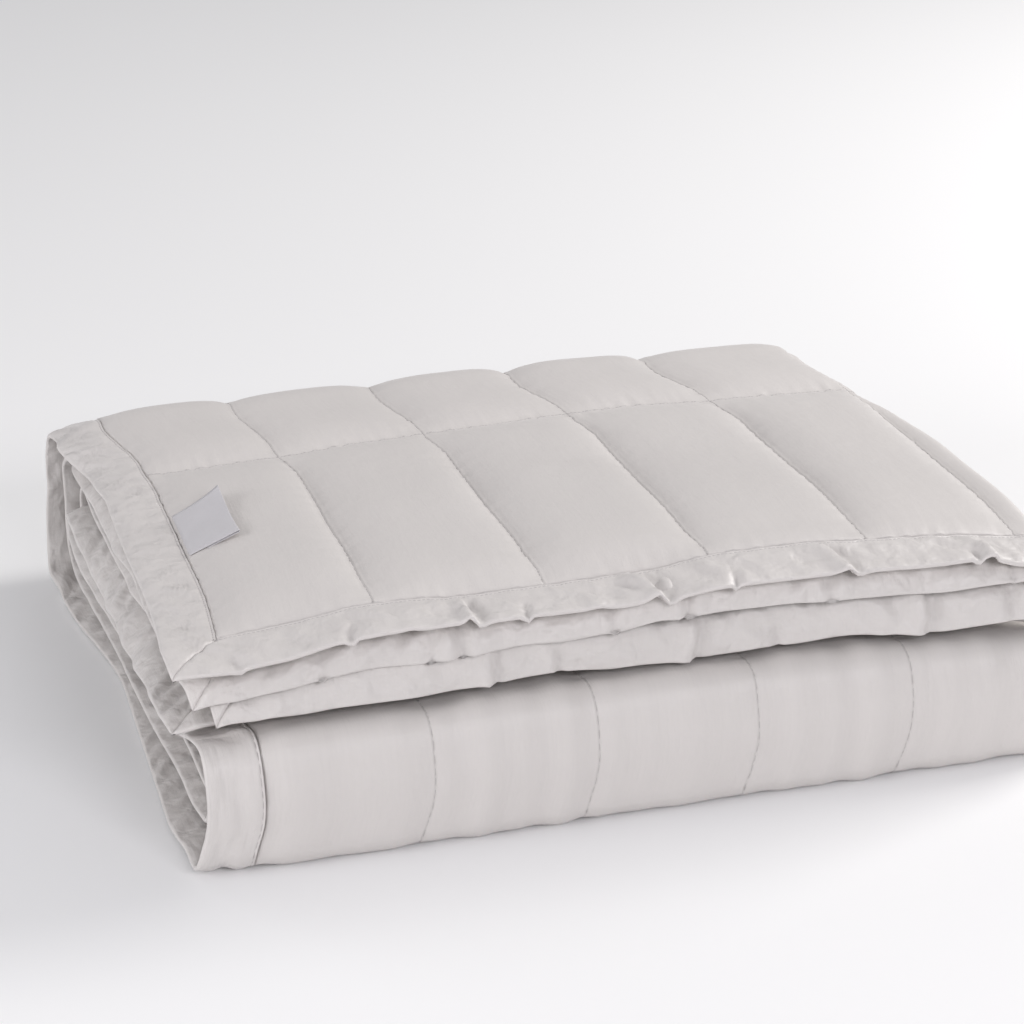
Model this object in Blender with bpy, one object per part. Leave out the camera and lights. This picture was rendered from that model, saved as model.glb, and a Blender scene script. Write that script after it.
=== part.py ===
"""A quilted weighted blanket, folded in half across its width and twice along its length.

The blanket is drawn flat, u metres across its width and v metres along its length. One fold map carries
every flat position into the folded bundle. The quilted panel, the four mitred binding strips and the
label all use that map.
"""
import math
from collections import namedtuple

import bmesh
import bpy
import numpy as np
from mathutils import Matrix, Vector

# ---- flat blanket ----
COLUMNS = 10
ROWS = 6
CELL_WIDTH = 0.1143
CELL_LENGTH = 0.2921
BINDING = 0.0381
WIDTH = COLUMNS * CELL_WIDTH + 2 * BINDING
LENGTH = ROWS * CELL_LENGTH + 2 * BINDING
LOFT = 0.0165
SEAM = 0.0024
GAP = 0.0003

# ---- folded bundle ----
PITCH = 0.0191
HALF_PITCH = PITCH / 2
LOWEST = 0.0068
TOP_RUN = 0.418
INNER_RUN_END = 0.396
INNER_STRETCH = 1.079
FRONT_TURN_Y = 0.015
BACK_RADIUS = 2 * PITCH
BACK_UPRIGHT = 2 * PITCH
TURN_RADIUS = PITCH
HALF_WIDTH = BINDING + COLUMNS / 2 * CELL_WIDTH
FOLD_OVERHANG = 0.011
TOP_PAIR_Z = LOWEST + 6.5 * PITCH
QUARTER = math.pi / 2

Run = namedtuple("Run", "name length turn")
SIDE_VIEW = (
    Run("top layers", TOP_RUN, 0),
    Run("over the back edge", QUARTER * BACK_RADIUS, -QUARTER),
    Run("down the back", BACK_UPRIGHT, 0),
    Run("under the back edge", QUARTER * BACK_RADIUS, -QUARTER),
    Run("bottom layers", TOP_RUN - FRONT_TURN_Y, 0),
    Run("round the front fold", 2 * QUARTER * TURN_RADIUS, -2 * QUARTER),
    Run("layers on the front fold", INNER_RUN_END - FRONT_TURN_Y, 0),
    Run("inner fold at the back", 2 * QUARTER * TURN_RADIUS, 2 * QUARTER),
    Run("layers under the top", LENGTH, 0),
)
OUTER_TURN = TURN_RADIUS + HALF_PITCH
LOWER_CORNER = 0.0066
UPPER_CORNER = 0.022
FRONT_VIEW = (
    Run("forward on the surface", OUTER_TURN - LOWER_CORNER, 0),
    Run("lower corner", QUARTER * LOWER_CORNER, QUARTER),
    Run("up the front", 2 * OUTER_TURN - LOWER_CORNER - UPPER_CORNER, 0),
    Run("upper corner", QUARTER * UPPER_CORNER, QUARTER),
    Run("back on the stack", OUTER_TURN - UPPER_CORNER, 0),
)
END_VIEW = (
    Run("first half", HALF_WIDTH + FOLD_OVERHANG, 0),
    Run("round the side fold", 2 * QUARTER * HALF_PITCH, -2 * QUARTER),
    Run("second half", WIDTH, 0),
)


def run_start(runs, name):
    """Distance along a list of runs at which the named one starts."""
    names = [run.name for run in runs]
    return sum(run.length for run in runs[:names.index(name)])


BACK_START = run_start(SIDE_VIEW, "over the back edge")
BOTTOM_START = run_start(SIDE_VIEW, "bottom layers")
FRONT_START = run_start(SIDE_VIEW, "round the front fold")
FRONT_END = run_start(SIDE_VIEW, "layers on the front fold")
INNER_START = run_start(SIDE_VIEW, "inner fold at the back")
INNER_END = run_start(SIDE_VIEW, "layers under the top")
SIDE_FOLD_START = run_start(END_VIEW, "round the side fold")
SIDE_FOLD_END = run_start(END_VIEW, "second half")
PATH_END = FRONT_END + INNER_STRETCH * (LENGTH - FRONT_END)

# How far the cloth lies to the side of a square fold, along its length.
Drift = namedtuple("Drift", "path first_half second_half")
DRIFT = (
    Drift(0.000, 0.001, -0.043),
    Drift(0.110, 0.006, -0.046),
    Drift(0.200, 0.0045, -0.050),
    Drift(0.285, 0.0030, -0.057),
    Drift(0.330, -0.001, -0.060),
    Drift(BACK_START, -0.018, -0.064),
    Drift(0.490, -0.021, -0.066),
    Drift(0.555, -0.026, -0.066),
    Drift(BOTTOM_START, -0.021, -0.066),
    Drift(0.750, 0.004, -0.053),
    Drift(FRONT_START - 0.04, 0.004, -0.037),
    Drift(FRONT_START + 0.010, 0.010, -0.033),
    Drift(FRONT_START + 0.035, 0.021, -0.031),
    Drift(FRONT_END + 0.04, 0.016, -0.032),
    Drift(INNER_START, -0.014, -0.056),
    Drift(INNER_END, -0.014, -0.056),
    Drift(PATH_END, 0.001, -0.027),
)

# Turning-down of the free side edges, in degrees at the outer edge of the binding.
LEAST_DROOP = 0.5
SideDroop = namedtuple("SideDroop", "path first_half second_half")
SIDE_DROOP = (
    SideDroop(0.000, 8, 20),
    SideDroop(0.090, 12, 26),
    SideDroop(0.200, 9, 44),
    SideDroop(0.330, 24, 58),
    SideDroop(BACK_START, 28, 46),
    SideDroop(0.500, 6, 4),
    SideDroop(BOTTOM_START, 8, 6),
    SideDroop(0.800, 9, 8),
    SideDroop(FRONT_START, 2, 4),
    SideDroop(FRONT_END, 4, 6),
    SideDroop(FRONT_END + 0.12, 46, 18),
    SideDroop(1.250, 50, 18),
    SideDroop(INNER_START, 14, 8),
    SideDroop(INNER_END, 14, 20),
    SideDroop(1.600, 60, 44),
    SideDroop(PATH_END - 0.13, 40, 26),
    SideDroop(PATH_END, 16, 12),
)

# The two ends of the blanket, across its width: how far an end is lifted off its square fold and pushed
# to the front, how much of the binding stays flat, and how far the rest turns down, at what radius.
EndShape = namedtuple("EndShape", "u lift push flat droop radius")
TOP_END = (
    EndShape(0.000, 0.0012, 0.000, 0.004, 25, 0.090),
    EndShape(0.030, 0.0000, 0.000, 0.004, 11, 0.090),
    EndShape(0.060, 0.0008, 0.000, 0.004, 8, 0.090),
    EndShape(0.095, 0.0002, 0.000, 0.004, 5, 0.080),
    EndShape(0.130, 0.0015, 0.000, 0.004, 2, 0.080),
    EndShape(0.165, 0.0011, 0.000, 0.004, 2, 0.080),
    EndShape(0.205, -0.0026, 0.000, 0.004, -1, 0.080),
    EndShape(0.245, -0.0027, 0.000, 0.004, 0, 0.080),
    EndShape(0.290, -0.0029, 0.000, 0.004, 3, 0.080),
    EndShape(0.335, -0.0036, 0.000, 0.004, 3, 0.080),
    EndShape(0.390, 0.0020, 0.000, 0.004, 11, 0.080),
    EndShape(0.450, 0.0034, 0.000, 0.004, 13, 0.080),
    EndShape(0.510, 0.0009, 0.000, 0.004, 5, 0.080),
    EndShape(0.570, 0.0032, 0.000, 0.004, -1, 0.080),
    EndShape(0.622, 0.0000, 0.000, 0.006, 10, 0.060),
    EndShape(0.670, 0.0174, 0.004, 0.006, 40, 0.040),
    EndShape(0.745, 0.0118, 0.004, 0.010, 66, 0.018),
    EndShape(0.800, 0.0125, 0.005, 0.012, 70, 0.017),
    EndShape(0.860, 0.0121, 0.004, 0.012, 72, 0.016),
    EndShape(0.905, 0.0119, 0.003, 0.012, 74, 0.016),
    EndShape(0.950, 0.0097, 0.004, 0.012, 76, 0.016),
    EndShape(1.000, 0.0097, 0.005, 0.012, 78, 0.016),
    EndShape(1.050, 0.0088, 0.005, 0.011, 80, 0.016),
    EndShape(1.085, 0.0075, 0.003, 0.011, 78, 0.016),
    EndShape(1.120, 0.0080, 0.002, 0.012, 72, 0.017),
    EndShape(1.160, 0.0071, 0.001, 0.012, 62, 0.018),
    EndShape(1.192, 0.0047, 0.001, 0.012, 52, 0.020),
    EndShape(WIDTH, 0.0040, 0.000, 0.012, 46, 0.020),
)
INNER_END_SHAPE = (
    EndShape(0.000, 0.0000, 0.000, 0.004, 8, 0.100),
    EndShape(0.580, 0.0000, 0.000, 0.004, 8, 0.100),
    EndShape(0.670, 0.0133, 0.003, 0.004, 40, 0.030),
    EndShape(0.745, 0.0083, 0.002, 0.003, 80, 0.012),
    EndShape(0.790, 0.0106, 0.000, 0.003, 84, 0.011),
    EndShape(0.840, 0.0076, -0.002, 0.003, 84, 0.010),
    EndShape(0.900, 0.0051, -0.001, 0.003, 86, 0.010),
    EndShape(0.950, 0.0087, 0.000, 0.003, 86, 0.010),
    EndShape(1.000, 0.0128, 0.001, 0.003, 86, 0.010),
    EndShape(1.050, 0.0113, 0.002, 0.003, 86, 0.010),
    EndShape(1.100, 0.0103, 0.001, 0.004, 82, 0.011),
    EndShape(1.145, 0.0100, -0.004, 0.005, 74, 0.013),
    EndShape(1.185, 0.0101, -0.008, 0.008, 60, 0.015),
    EndShape(WIDTH, 0.0120, -0.007, 0.010, 50, 0.016),
)
LIFT_FADES = 0.032
PUSH_FADES = 0.300
CORNER_ROUND = 0.0040
CORNER_REACH = 0.030

# The front swells where the layers turn: how much the top and the front fold rise over a flat stack.
Swell = namedtuple("Swell", "x top fold")
SWELL = (
    Swell(0.038, 0.008, 0.018),
    Swell(0.152, 0.018, 0.013),
    Swell(0.267, 0.020, 0.014),
    Swell(0.381, 0.023, 0.012),
    Swell(0.495, 0.020, 0.012),
    Swell(0.610, 0.009, 0.015),
)
SwellShare = namedtuple("SwellShare", "z top fold")
SWELL_SHARE = (
    SwellShare(LOWEST, 0.0, 0.0),
    SwellShare(LOWEST + PITCH, 0.1, 0.2),
    SwellShare(LOWEST + 2 * PITCH, 0.35, 0.6),
    SwellShare(LOWEST + 3 * PITCH, 0.75, 1.0),
    SwellShare(LOWEST + 4 * PITCH, 1.0, 0.6),
    SwellShare(LOWEST + 5 * PITCH, 1.0, 0.2),
    SwellShare(LOWEST + 6 * PITCH, 1.0, 0.0),
)
TOP_SWELL_ENDS = (0.04, 0.30)
BACK_SWELL_SHARE = 0.25
FOLD_SWELL_ENDS = (0.00, 0.10)
INNER_END_TUCK = 0.034
TUCK_FADES = 0.55

# The filling is pulled thin in the sharp folds, and the stitching rides towards a face that is pulled smooth.
Filling = namedtuple("Filling", "v half_loft ride")
FILLING = (
    Filling(0.00, LOFT / 2, 0.0024),
    Filling(BACK_START, LOFT / 2, 0.0024),
    Filling(BACK_START + 0.06, 0.0075, 0.0034),
    Filling(BOTTOM_START, LOFT / 2, 0.0036),
    Filling(FRONT_START - 0.02, LOFT / 2, 0.0036),
    Filling(FRONT_START + 0.01, 0.0060, 0.0032),
    Filling(FRONT_END - 0.01, 0.0060, 0.0032),
    Filling(FRONT_END + 0.06, LOFT / 2, 0.0),
    Filling(LENGTH - 0.16, LOFT / 2, 0.0),
    Filling(LENGTH, 0.0062, 0.0),
)

SIDE_FOLD_THINNING = 0.30
SIDE_FOLD_REACH = 0.020

# Waves along the free side edges of the binding.
WAVE_HEIGHT = 0.0022
LONG_WAVE = 0.230
SHORT_WAVE = 0.127

# ---- label, a folded tab sewn into the seam of the top layer ----
LABEL_START = 0.165
LABEL_LENGTH = 0.070
LABEL_REACH = 0.036
LABEL_LEAF = 0.0010
LABEL_OPENING = 0.0012
LABEL_RISE = 0.34
LABEL_STEPS = 4

# ---- steps of the meshes ----
FLAT_STEP = 0.050
TURN_STEPS = 4
LOWER_CORNER_STEPS = 3
SHOULDER = 0.019
CLOSEST = 0.0018
SIDE_STEPS = (0, 1 / 3, 2 / 3, 1)
ROLL_STEPS = (0, 0.30, 0.50, 0.66, 0.82, 1)

COTTON = (0.64, 0.61, 0.595)
BINDING_COTTON = (0.63, 0.60, 0.585)
LABEL_GREY = (0.49, 0.48, 0.49)


def eased(x, table, column):
    """Reads one column of a table at x, easing from each row to the next."""
    at = [row[0] for row in table]
    values = [getattr(row, column) for row in table]
    total = np.full_like(x, values[0], dtype=float)
    for start, end, low, high in zip(at, at[1:], values, values[1:]):
        total += (high - low) * ramp(x, start, end)
    return total


def ramp(x, start, end):
    """Rises smoothly from 0 at start to 1 at end."""
    t = np.clip((x - start) / (end - start), 0, 1)
    return t * t * (3 - 2 * t)


def walk(distance, runs, across, up):
    """Follows straight and turning runs from a start: two coordinates and the heading."""
    heading = np.zeros_like(distance)
    across = across + np.zeros_like(distance)
    up = up + np.zeros_like(distance)
    start = 0.0
    before = 0.0
    for run in runs:
        gone = np.clip(distance - start, 0, run.length)
        if run.turn:
            radius = run.length / run.turn
            across += radius * (np.sin(before + gone / radius) - math.sin(before))
            up -= radius * (np.cos(before + gone / radius) - math.cos(before))
            heading += gone / radius
        else:
            across += gone * math.cos(before)
            up += gone * math.sin(before)
        start += run.length
        before += run.turn
    return across, up, heading


def turned_down(distance, flat, degrees, radius):
    """An edge that bends down in an arc and runs on straight: the reach it loses and how far it drops.

    At a negative angle it bends up.
    """
    angle = np.abs(np.radians(degrees))
    bent = np.clip((distance - flat) / radius, 0, angle)
    straight = np.maximum(distance - flat - radius * angle, 0)
    reach = np.minimum(distance, flat) + radius * np.sin(bent) + straight * np.cos(angle)
    drop = radius * (1 - np.cos(bent)) + straight * np.sin(angle)
    return distance - reach, drop * np.sign(degrees)


def along_path(v):
    """Distance along the side view. The layers inside the stack are drawn longer than they lie flat."""
    return v + (INNER_STRETCH - 1) * np.maximum(v - FRONT_END, 0)


def corner_pull(u, v):
    """How far the blanket's four soft corners draw in along both directions."""
    from_side = np.minimum(u, WIDTH - u)
    from_end = np.minimum(v, LENGTH - v)
    near = np.clip(1 - from_side / CORNER_REACH, 0, 1) * np.clip(1 - from_end / CORNER_REACH, 0, 1)
    pull = CORNER_ROUND * near
    return pull * np.sign(WIDTH / 2 - u), pull * np.sign(LENGTH / 2 - v)


def front_fold_squareness(v):
    """How far the outer layer of the front fold lies forward of and above a round turn."""
    turned = np.clip((v - FRONT_START) / (FRONT_END - FRONT_START), 0, 1)
    square_length = sum(run.length for run in FRONT_VIEW)
    forward, up, _ = walk(turned * square_length, FRONT_VIEW, 0.0, 0.0)
    round_forward = OUTER_TURN * np.sin(math.pi * turned)
    round_up = OUTER_TURN * (1 - np.cos(math.pi * turned))
    return forward - round_forward, up - round_up


def middle(u, v):
    """The middle of the cloth's thickness in the folded bundle, for flat positions u and v."""
    side_edge = np.maximum(BINDING - u, 0) + np.maximum(u - (WIDTH - BINDING), 0)
    end_edge = np.maximum(BINDING - v, 0) + np.maximum(v - (LENGTH - BINDING), 0)
    pull_u, pull_v = corner_pull(u, v)
    path = along_path(v)
    x, offset, _ = walk(u + pull_u, END_VIEW, 0.0, HALF_PITCH)
    y, z, heading = walk(path + pull_v, SIDE_VIEW, 0.0, TOP_PAIR_Z)
    y = y - offset * np.sin(heading)
    z = z + offset * np.cos(heading)

    second_half = ramp(u, SIDE_FOLD_START, SIDE_FOLD_END)
    forward, upward = front_fold_squareness(v)
    y = y - forward * (1 - second_half)
    z = z + upward * (1 - second_half)
    tuck = INNER_END_TUCK * ramp(path, INNER_END, PATH_END - BINDING)
    y = y + tuck * (1 - ramp(u, TUCK_FADES, SIDE_FOLD_END))
    edge_share = np.clip(1 - x / HALF_WIDTH, 0, 1)
    first = eased(path, DRIFT, "first_half")
    second = eased(path, DRIFT, "second_half")
    drift = first * (1 - second_half) + (first * (1 - edge_share) + second * edge_share) * second_half

    top_fade = 1 - (1 - BACK_SWELL_SHARE) * ramp(y, *TOP_SWELL_ENDS)
    top_swell = eased(x + drift, SWELL, "top") * top_fade * eased(z, SWELL_SHARE, "top")
    fold_fade = 1 - ramp(y, *FOLD_SWELL_ENDS)
    fold_swell = eased(x + drift, SWELL, "fold") * fold_fade * eased(z, SWELL_SHARE, "fold")
    z = z + top_swell + fold_swell

    first_angle = eased(path, SIDE_DROOP, "first_half")
    second_angle = eased(path, SIDE_DROOP, "second_half")
    side_angle = np.where(u < HALF_WIDTH, first_angle, second_angle) * np.abs(np.cos(heading)) + LEAST_DROOP
    lost, drop = turned_down(side_edge, 0.0, side_angle, BINDING / np.radians(side_angle))
    x = x + lost + drift
    z = z - drop
    shape = {}
    for column in EndShape._fields[1:]:
        at_top, at_inner = eased(u, TOP_END, column), eased(u, INNER_END_SHAPE, column)
        shape[column] = np.where(v < LENGTH / 2, at_top, at_inner)
    from_seam = np.minimum(v, LENGTH - v) - BINDING
    lost, drop = turned_down(end_edge, shape["flat"], shape["droop"], shape["radius"])
    y = y + lost - shape["push"] * (1 - ramp(from_seam, 0, PUSH_FADES))
    z = z - drop + shape["lift"] * (1 - ramp(from_seam, 0, LIFT_FADES))

    along = 2 * math.pi * (u + v)
    wave = np.sin(along / LONG_WAVE) + 0.7 * np.sin(along / SHORT_WAVE)
    at_edge = (side_edge / BINDING) ** 2 * np.cos(heading)
    z = z + WAVE_HEIGHT * wave * at_edge * ramp(z, 0.0, 0.03)
    return np.stack([x, y, z], -1)


def facing(u, v):
    """Unit normals of the cloth's middle, towards its outer face."""
    step = 0.0005
    along_u = middle(u + step, v) - middle(u - step, v)
    along_v = middle(u, v + step) - middle(u, v - step)
    normal = np.cross(along_u, along_v)
    return normal / np.linalg.norm(normal, axis=-1, keepdims=True)


def crown(u, v):
    """Fullness of the quilting: 0 on the stitching and in the binding, 1 in the middle of a cell."""
    column = (u - BINDING) / CELL_WIDTH
    row = (v - BINDING) / CELL_LENGTH
    inside = (column > 0) & (column < COLUMNS) & (row > 0) & (row < ROWS)
    across = 1 - np.abs(2 * (column % 1) - 1) ** 3
    along = 1 - np.abs(2 * (row % 1) - 1) ** 7
    return np.where(inside, across * along, 0) * (1 - SIDE_FOLD_THINNING * round_side_fold(u))


def round_side_fold(u):
    """1 where the cloth is bent sharply round the side fold, 0 away from it."""
    before = ramp(u, SIDE_FOLD_START - SIDE_FOLD_REACH, SIDE_FOLD_START)
    return before * (1 - ramp(u, SIDE_FOLD_END, SIDE_FOLD_END + SIDE_FOLD_REACH))


def stitch_ride(u, v):
    """How far the stitching lies towards the outer face."""
    return eased(v, FILLING, "ride") * (1 - ramp(u, SIDE_FOLD_START, SIDE_FOLD_END))


def outer_face(u, v):
    """Height of the outer face over the cloth's middle."""
    at_seam = SEAM / 2 + stitch_ride(u, v)
    return at_seam + crown(u, v) * (eased(v, FILLING, "half_loft") - at_seam)


def inner_face(u, v):
    """Height of the inner face under the cloth's middle, below zero."""
    at_seam = stitch_ride(u, v) - SEAM / 2
    return at_seam - crown(u, v) * (eased(v, FILLING, "half_loft") + at_seam)


def raised(u, v, height):
    """Points at a height over the cloth's middle, none of them below the surface that it lies on."""
    points = middle(u, v) + facing(u, v) * height[..., None]
    points[..., 2] = np.maximum(points[..., 2], 0.0)
    return points


def split(start, end, steps):
    """Evenly spaced positions from start to end."""
    return [start + (end - start) * step / steps for step in range(steps + 1)]


def front_fold_stations():
    """Positions round the front fold: few on its flats, close together in its corners."""
    square_length = sum(run.length for run in FRONT_VIEW)
    scale = (FRONT_END - FRONT_START) / square_length
    places = [FRONT_START]
    for run in FRONT_VIEW:
        steps = 1
        if run.turn:
            steps = LOWER_CORNER_STEPS if run.name == "lower corner" else TURN_STEPS
        places += split(places[-1], places[-1] + run.length * scale, steps)[1:]
    return places


def stations(lines, turned, length):
    """Positions along one direction: stitching, its shoulders, the turns and wide steps between."""
    shoulders = [line + side * SHOULDER for line in lines for side in (-1, 1)]
    kept = sorted(lines)
    for places, closest in ((turned, CLOSEST), (shoulders, SHOULDER / 2)):
        for place in places:
            if lines[0] < place < lines[-1] and min(abs(place - other) for other in kept) > closest:
                kept.append(place)
    kept.sort()
    filled = []
    for start, end in zip(kept, kept[1:]):
        steps = max(1, math.ceil((end - start) / length))
        filled += [start + (end - start) * step / steps for step in range(steps)]
    return np.array(filled + [kept[-1]])


def width_stations():
    lines = [BINDING + column * CELL_WIDTH for column in range(COLUMNS + 1)]
    return stations(lines, split(SIDE_FOLD_START, SIDE_FOLD_END, TURN_STEPS), CELL_WIDTH / 2)


def length_stations():
    lines = [BINDING + row * CELL_LENGTH for row in range(ROWS + 1)]
    over_back_edge = split(BACK_START, BACK_START + QUARTER * BACK_RADIUS, TURN_STEPS)
    under_back_edge = split(BOTTOM_START - QUARTER * BACK_RADIUS, BOTTOM_START, TURN_STEPS)
    inner_fold = [FRONT_END + (place - FRONT_END) / INNER_STRETCH
                  for place in split(INNER_START, INNER_END, TURN_STEPS + 2)]
    turned = over_back_edge + under_back_edge + front_fold_stations() + inner_fold
    return stations(lines, turned, FLAT_STEP)


def closed_sheet(name, outer, inner, rank, material):
    """One closed body between two matching grids of points.

    The rim's triangles follow the rank of its points in the flat blanket, so the rims of neighbours match.
    """
    rows, columns = outer.shape[:2]
    mesh = bpy.data.meshes.new(name)
    body = bmesh.new()
    top = [[body.verts.new(point) for point in row] for row in outer]
    base = [[body.verts.new(point) for point in row] for row in inner]
    for i in range(rows - 1):
        for j in range(columns - 1):
            body.faces.new((top[i][j], top[i][j + 1], top[i + 1][j + 1], top[i + 1][j]))
            body.faces.new((base[i][j], base[i + 1][j], base[i + 1][j + 1], base[i][j + 1]))
    rim = [(0, j) for j in range(columns - 1)] + [(i, columns - 1) for i in range(rows - 1)]
    rim += [(rows - 1, j) for j in range(columns - 1, 0, -1)] + [(i, 0) for i in range(rows - 1, 0, -1)]
    for (i, j), (k, m) in zip(rim, rim[1:] + rim[:1]):
        if rank[i][j] < rank[k][m]:
            body.faces.new((top[k][m], top[i][j], base[k][m]))
            body.faces.new((top[i][j], base[i][j], base[k][m]))
        else:
            body.faces.new((top[k][m], top[i][j], base[i][j]))
            body.faces.new((top[k][m], base[i][j], base[k][m]))
    body.to_mesh(mesh)
    body.free()
    mesh.shade_smooth()
    mesh.set_sharp_from_angle(angle=math.radians(50))
    mesh.materials.append(material)
    piece = bpy.data.objects.new(name, mesh)
    bpy.context.collection.objects.link(piece)
    return piece


def cloth_piece(name, u, v, material):
    """A piece of the blanket over a grid of flat positions, as thick as the cloth is there."""
    outer = raised(u, v, outer_face(u, v))
    inner = raised(u, v, inner_face(u, v))
    return closed_sheet(name, outer, inner, 2 * u + v, material)


def cloth_material(name, colour, roughness):
    material = bpy.data.materials.new(name)
    material.use_nodes = True
    shader = material.node_tree.nodes["Principled BSDF"]
    shader.inputs["Base Color"].default_value = (*colour, 1)
    shader.inputs["Roughness"].default_value = roughness
    shader.inputs["Metallic"].default_value = 0
    return material


def quilted_panel(material):
    """The filled panel, inside the binding."""
    u, v = np.meshgrid(width_stations(), length_stations())
    half_gap = GAP / 2
    u[:, 0] += half_gap
    u[:, -1] -= half_gap
    v[0] += half_gap
    v[-1] -= half_gap
    return cloth_piece("quilted_panel", u, v, material)


def binding_strip(name, along, length, flip, sideways, material):
    """A strip from the outer edge to the panel, mitred at both ends, with the panel's stations."""
    across = np.array(ROLL_STEPS if sideways else SIDE_STEPS) * (BINDING - GAP / 2)
    mitre = GAP / math.sqrt(2)
    inside = along[1:-1]
    rows = []
    for edge in across:
        rows.append([edge + mitre, *inside, length - edge - mitre])
    along_grid = np.array(rows).T
    across_grid = np.tile(across, (along_grid.shape[0], 1))
    if flip:
        across_grid = (LENGTH if sideways else WIDTH) - across_grid
    u, v = (along_grid, across_grid) if sideways else (across_grid, along_grid)
    if flip == sideways:
        return cloth_piece(name, u, v, material)
    return cloth_piece(name, u[::-1], v[::-1], material)


def binding(material):
    """The four mitred strips."""
    width = width_stations()
    length = length_stations()
    binding_strip("binding_side_upper", length, LENGTH, False, False, material)
    binding_strip("binding_side_lower", length, LENGTH, True, False, material)
    binding_strip("binding_end_top", width, WIDTH, False, True, material)
    binding_strip("binding_end_inner", width, WIDTH, True, True, material)


def label_section():
    """Side view of the tab: distance from the seam and height, round the loop and back inside it."""
    depth = 2 * LABEL_LEAF + LABEL_OPENING
    nose = depth / 2
    reach = LABEL_REACH - nose

    def loop(radius, start):
        lower = [(start + (reach - start) * k / 3, nose - radius) for k in range(3)]
        turn = [(reach + radius * math.sin(a), nose - radius * math.cos(a))
                for a in (math.pi * k / LABEL_STEPS for k in range(LABEL_STEPS + 1))]
        upper = [(x, 2 * nose - z) for x, z in reversed(lower)]
        return lower + turn + upper

    return loop(nose, 0.0), loop(nose - LABEL_LEAF, 0.0)


def label_tab(material):
    """The folded tab, open at its ends, rising from the seam over the first cell."""
    outside, inside = label_section()
    v = np.linspace(LABEL_START + LABEL_LENGTH, LABEL_START, LABEL_STEPS + 1)
    seam = np.full_like(v, BINDING)
    root = middle(seam, v) + facing(seam, v) * (outer_face(seam, v) + GAP)[:, None]
    grids = []
    for section in (outside, inside):
        grid = np.empty((len(v), len(section), 3))
        for j, (reach, height) in enumerate(section):
            grid[:, j] = root + np.array([reach, 0, height + LABEL_RISE * reach])
        grids.append(grid)
    rank = np.arange(grids[0][..., 0].size).reshape(grids[0].shape[:2])
    return closed_sheet("label_tab", grids[0], grids[1], rank, material)


def centre_on_origin(pieces):
    """Moves the bundle so that the middle of its base is at the origin."""
    points = [vertex.co for piece in pieces for vertex in piece.data.vertices]
    low = Vector([min(point[axis] for point in points) for axis in range(3)])
    high = Vector([max(point[axis] for point in points) for axis in range(3)])
    base = (low + high) / 2
    base.z = low.z
    for piece in pieces:
        piece.data.transform(Matrix.Translation(-base))


def main():
    for leftover in list(bpy.data.objects):
        bpy.data.objects.remove(leftover)
    cotton = cloth_material("cotton sateen", COTTON, 0.62)
    binding_cotton = cloth_material("cotton binding", BINDING_COTTON, 0.60)
    label_grey = cloth_material("label tape", LABEL_GREY, 0.55)
    quilted_panel(cotton)
    binding(binding_cotton)
    label_tab(label_grey)
    centre_on_origin([piece for piece in bpy.data.objects if piece.type == "MESH"])


main()
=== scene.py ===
"""A quilted weighted blanket, folded in half across its width and twice along its length.

The blanket is drawn flat, u metres across its width and v metres along its length, and one fold map carries
every flat position into the folded bundle. The panel, the binding, the label and every stitch use that map,
so they stay on each other. Fullness, puckers, pinches and creases are added as heights over the cloth.
"""
import math
from collections import namedtuple

import bpy
import numpy as np
from mathutils import Matrix, Vector


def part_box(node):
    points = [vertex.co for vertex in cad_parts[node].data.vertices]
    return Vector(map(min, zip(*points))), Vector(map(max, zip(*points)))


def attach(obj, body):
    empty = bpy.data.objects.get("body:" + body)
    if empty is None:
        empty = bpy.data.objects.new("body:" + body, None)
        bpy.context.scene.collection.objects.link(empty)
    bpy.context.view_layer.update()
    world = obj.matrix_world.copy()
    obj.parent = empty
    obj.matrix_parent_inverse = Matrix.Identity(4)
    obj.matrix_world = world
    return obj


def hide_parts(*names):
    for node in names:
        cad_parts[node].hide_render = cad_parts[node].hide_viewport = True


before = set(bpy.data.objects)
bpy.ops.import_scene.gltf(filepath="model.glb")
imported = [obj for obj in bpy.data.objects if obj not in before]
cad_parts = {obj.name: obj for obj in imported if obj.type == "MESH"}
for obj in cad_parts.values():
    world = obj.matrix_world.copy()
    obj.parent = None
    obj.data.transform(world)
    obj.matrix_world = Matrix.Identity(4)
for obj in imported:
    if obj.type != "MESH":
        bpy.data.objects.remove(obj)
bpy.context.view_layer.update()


def rows_of(kind, *rows):
    """A table: each row as one named tuple."""
    return tuple(kind(*row) for row in rows)


# ---- flat blanket ----
COLUMNS = 10
ROWS = 6
CELL_WIDTH = 0.1143
CELL_LENGTH = 0.2921
BINDING = 0.0381
WIDTH = COLUMNS * CELL_WIDTH + 2 * BINDING
LENGTH = ROWS * CELL_LENGTH + 2 * BINDING
LOFT = 0.0165
SEAM = 0.0024
GAP = 0.0003

# ---- folded bundle ----
PITCH = 0.0191
HALF_PITCH = PITCH / 2
LOWEST = 0.0068
TOP_RUN = 0.418
INNER_RUN_END = 0.396
INNER_STRETCH = 1.079
FRONT_TURN_Y = 0.015
BACK_RADIUS = 2 * PITCH
BACK_UPRIGHT = 2 * PITCH
TURN_RADIUS = PITCH
HALF_WIDTH = BINDING + COLUMNS / 2 * CELL_WIDTH
FOLD_OVERHANG = 0.011
TOP_PAIR_Z = LOWEST + 6.5 * PITCH
QUARTER = math.pi / 2

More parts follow.
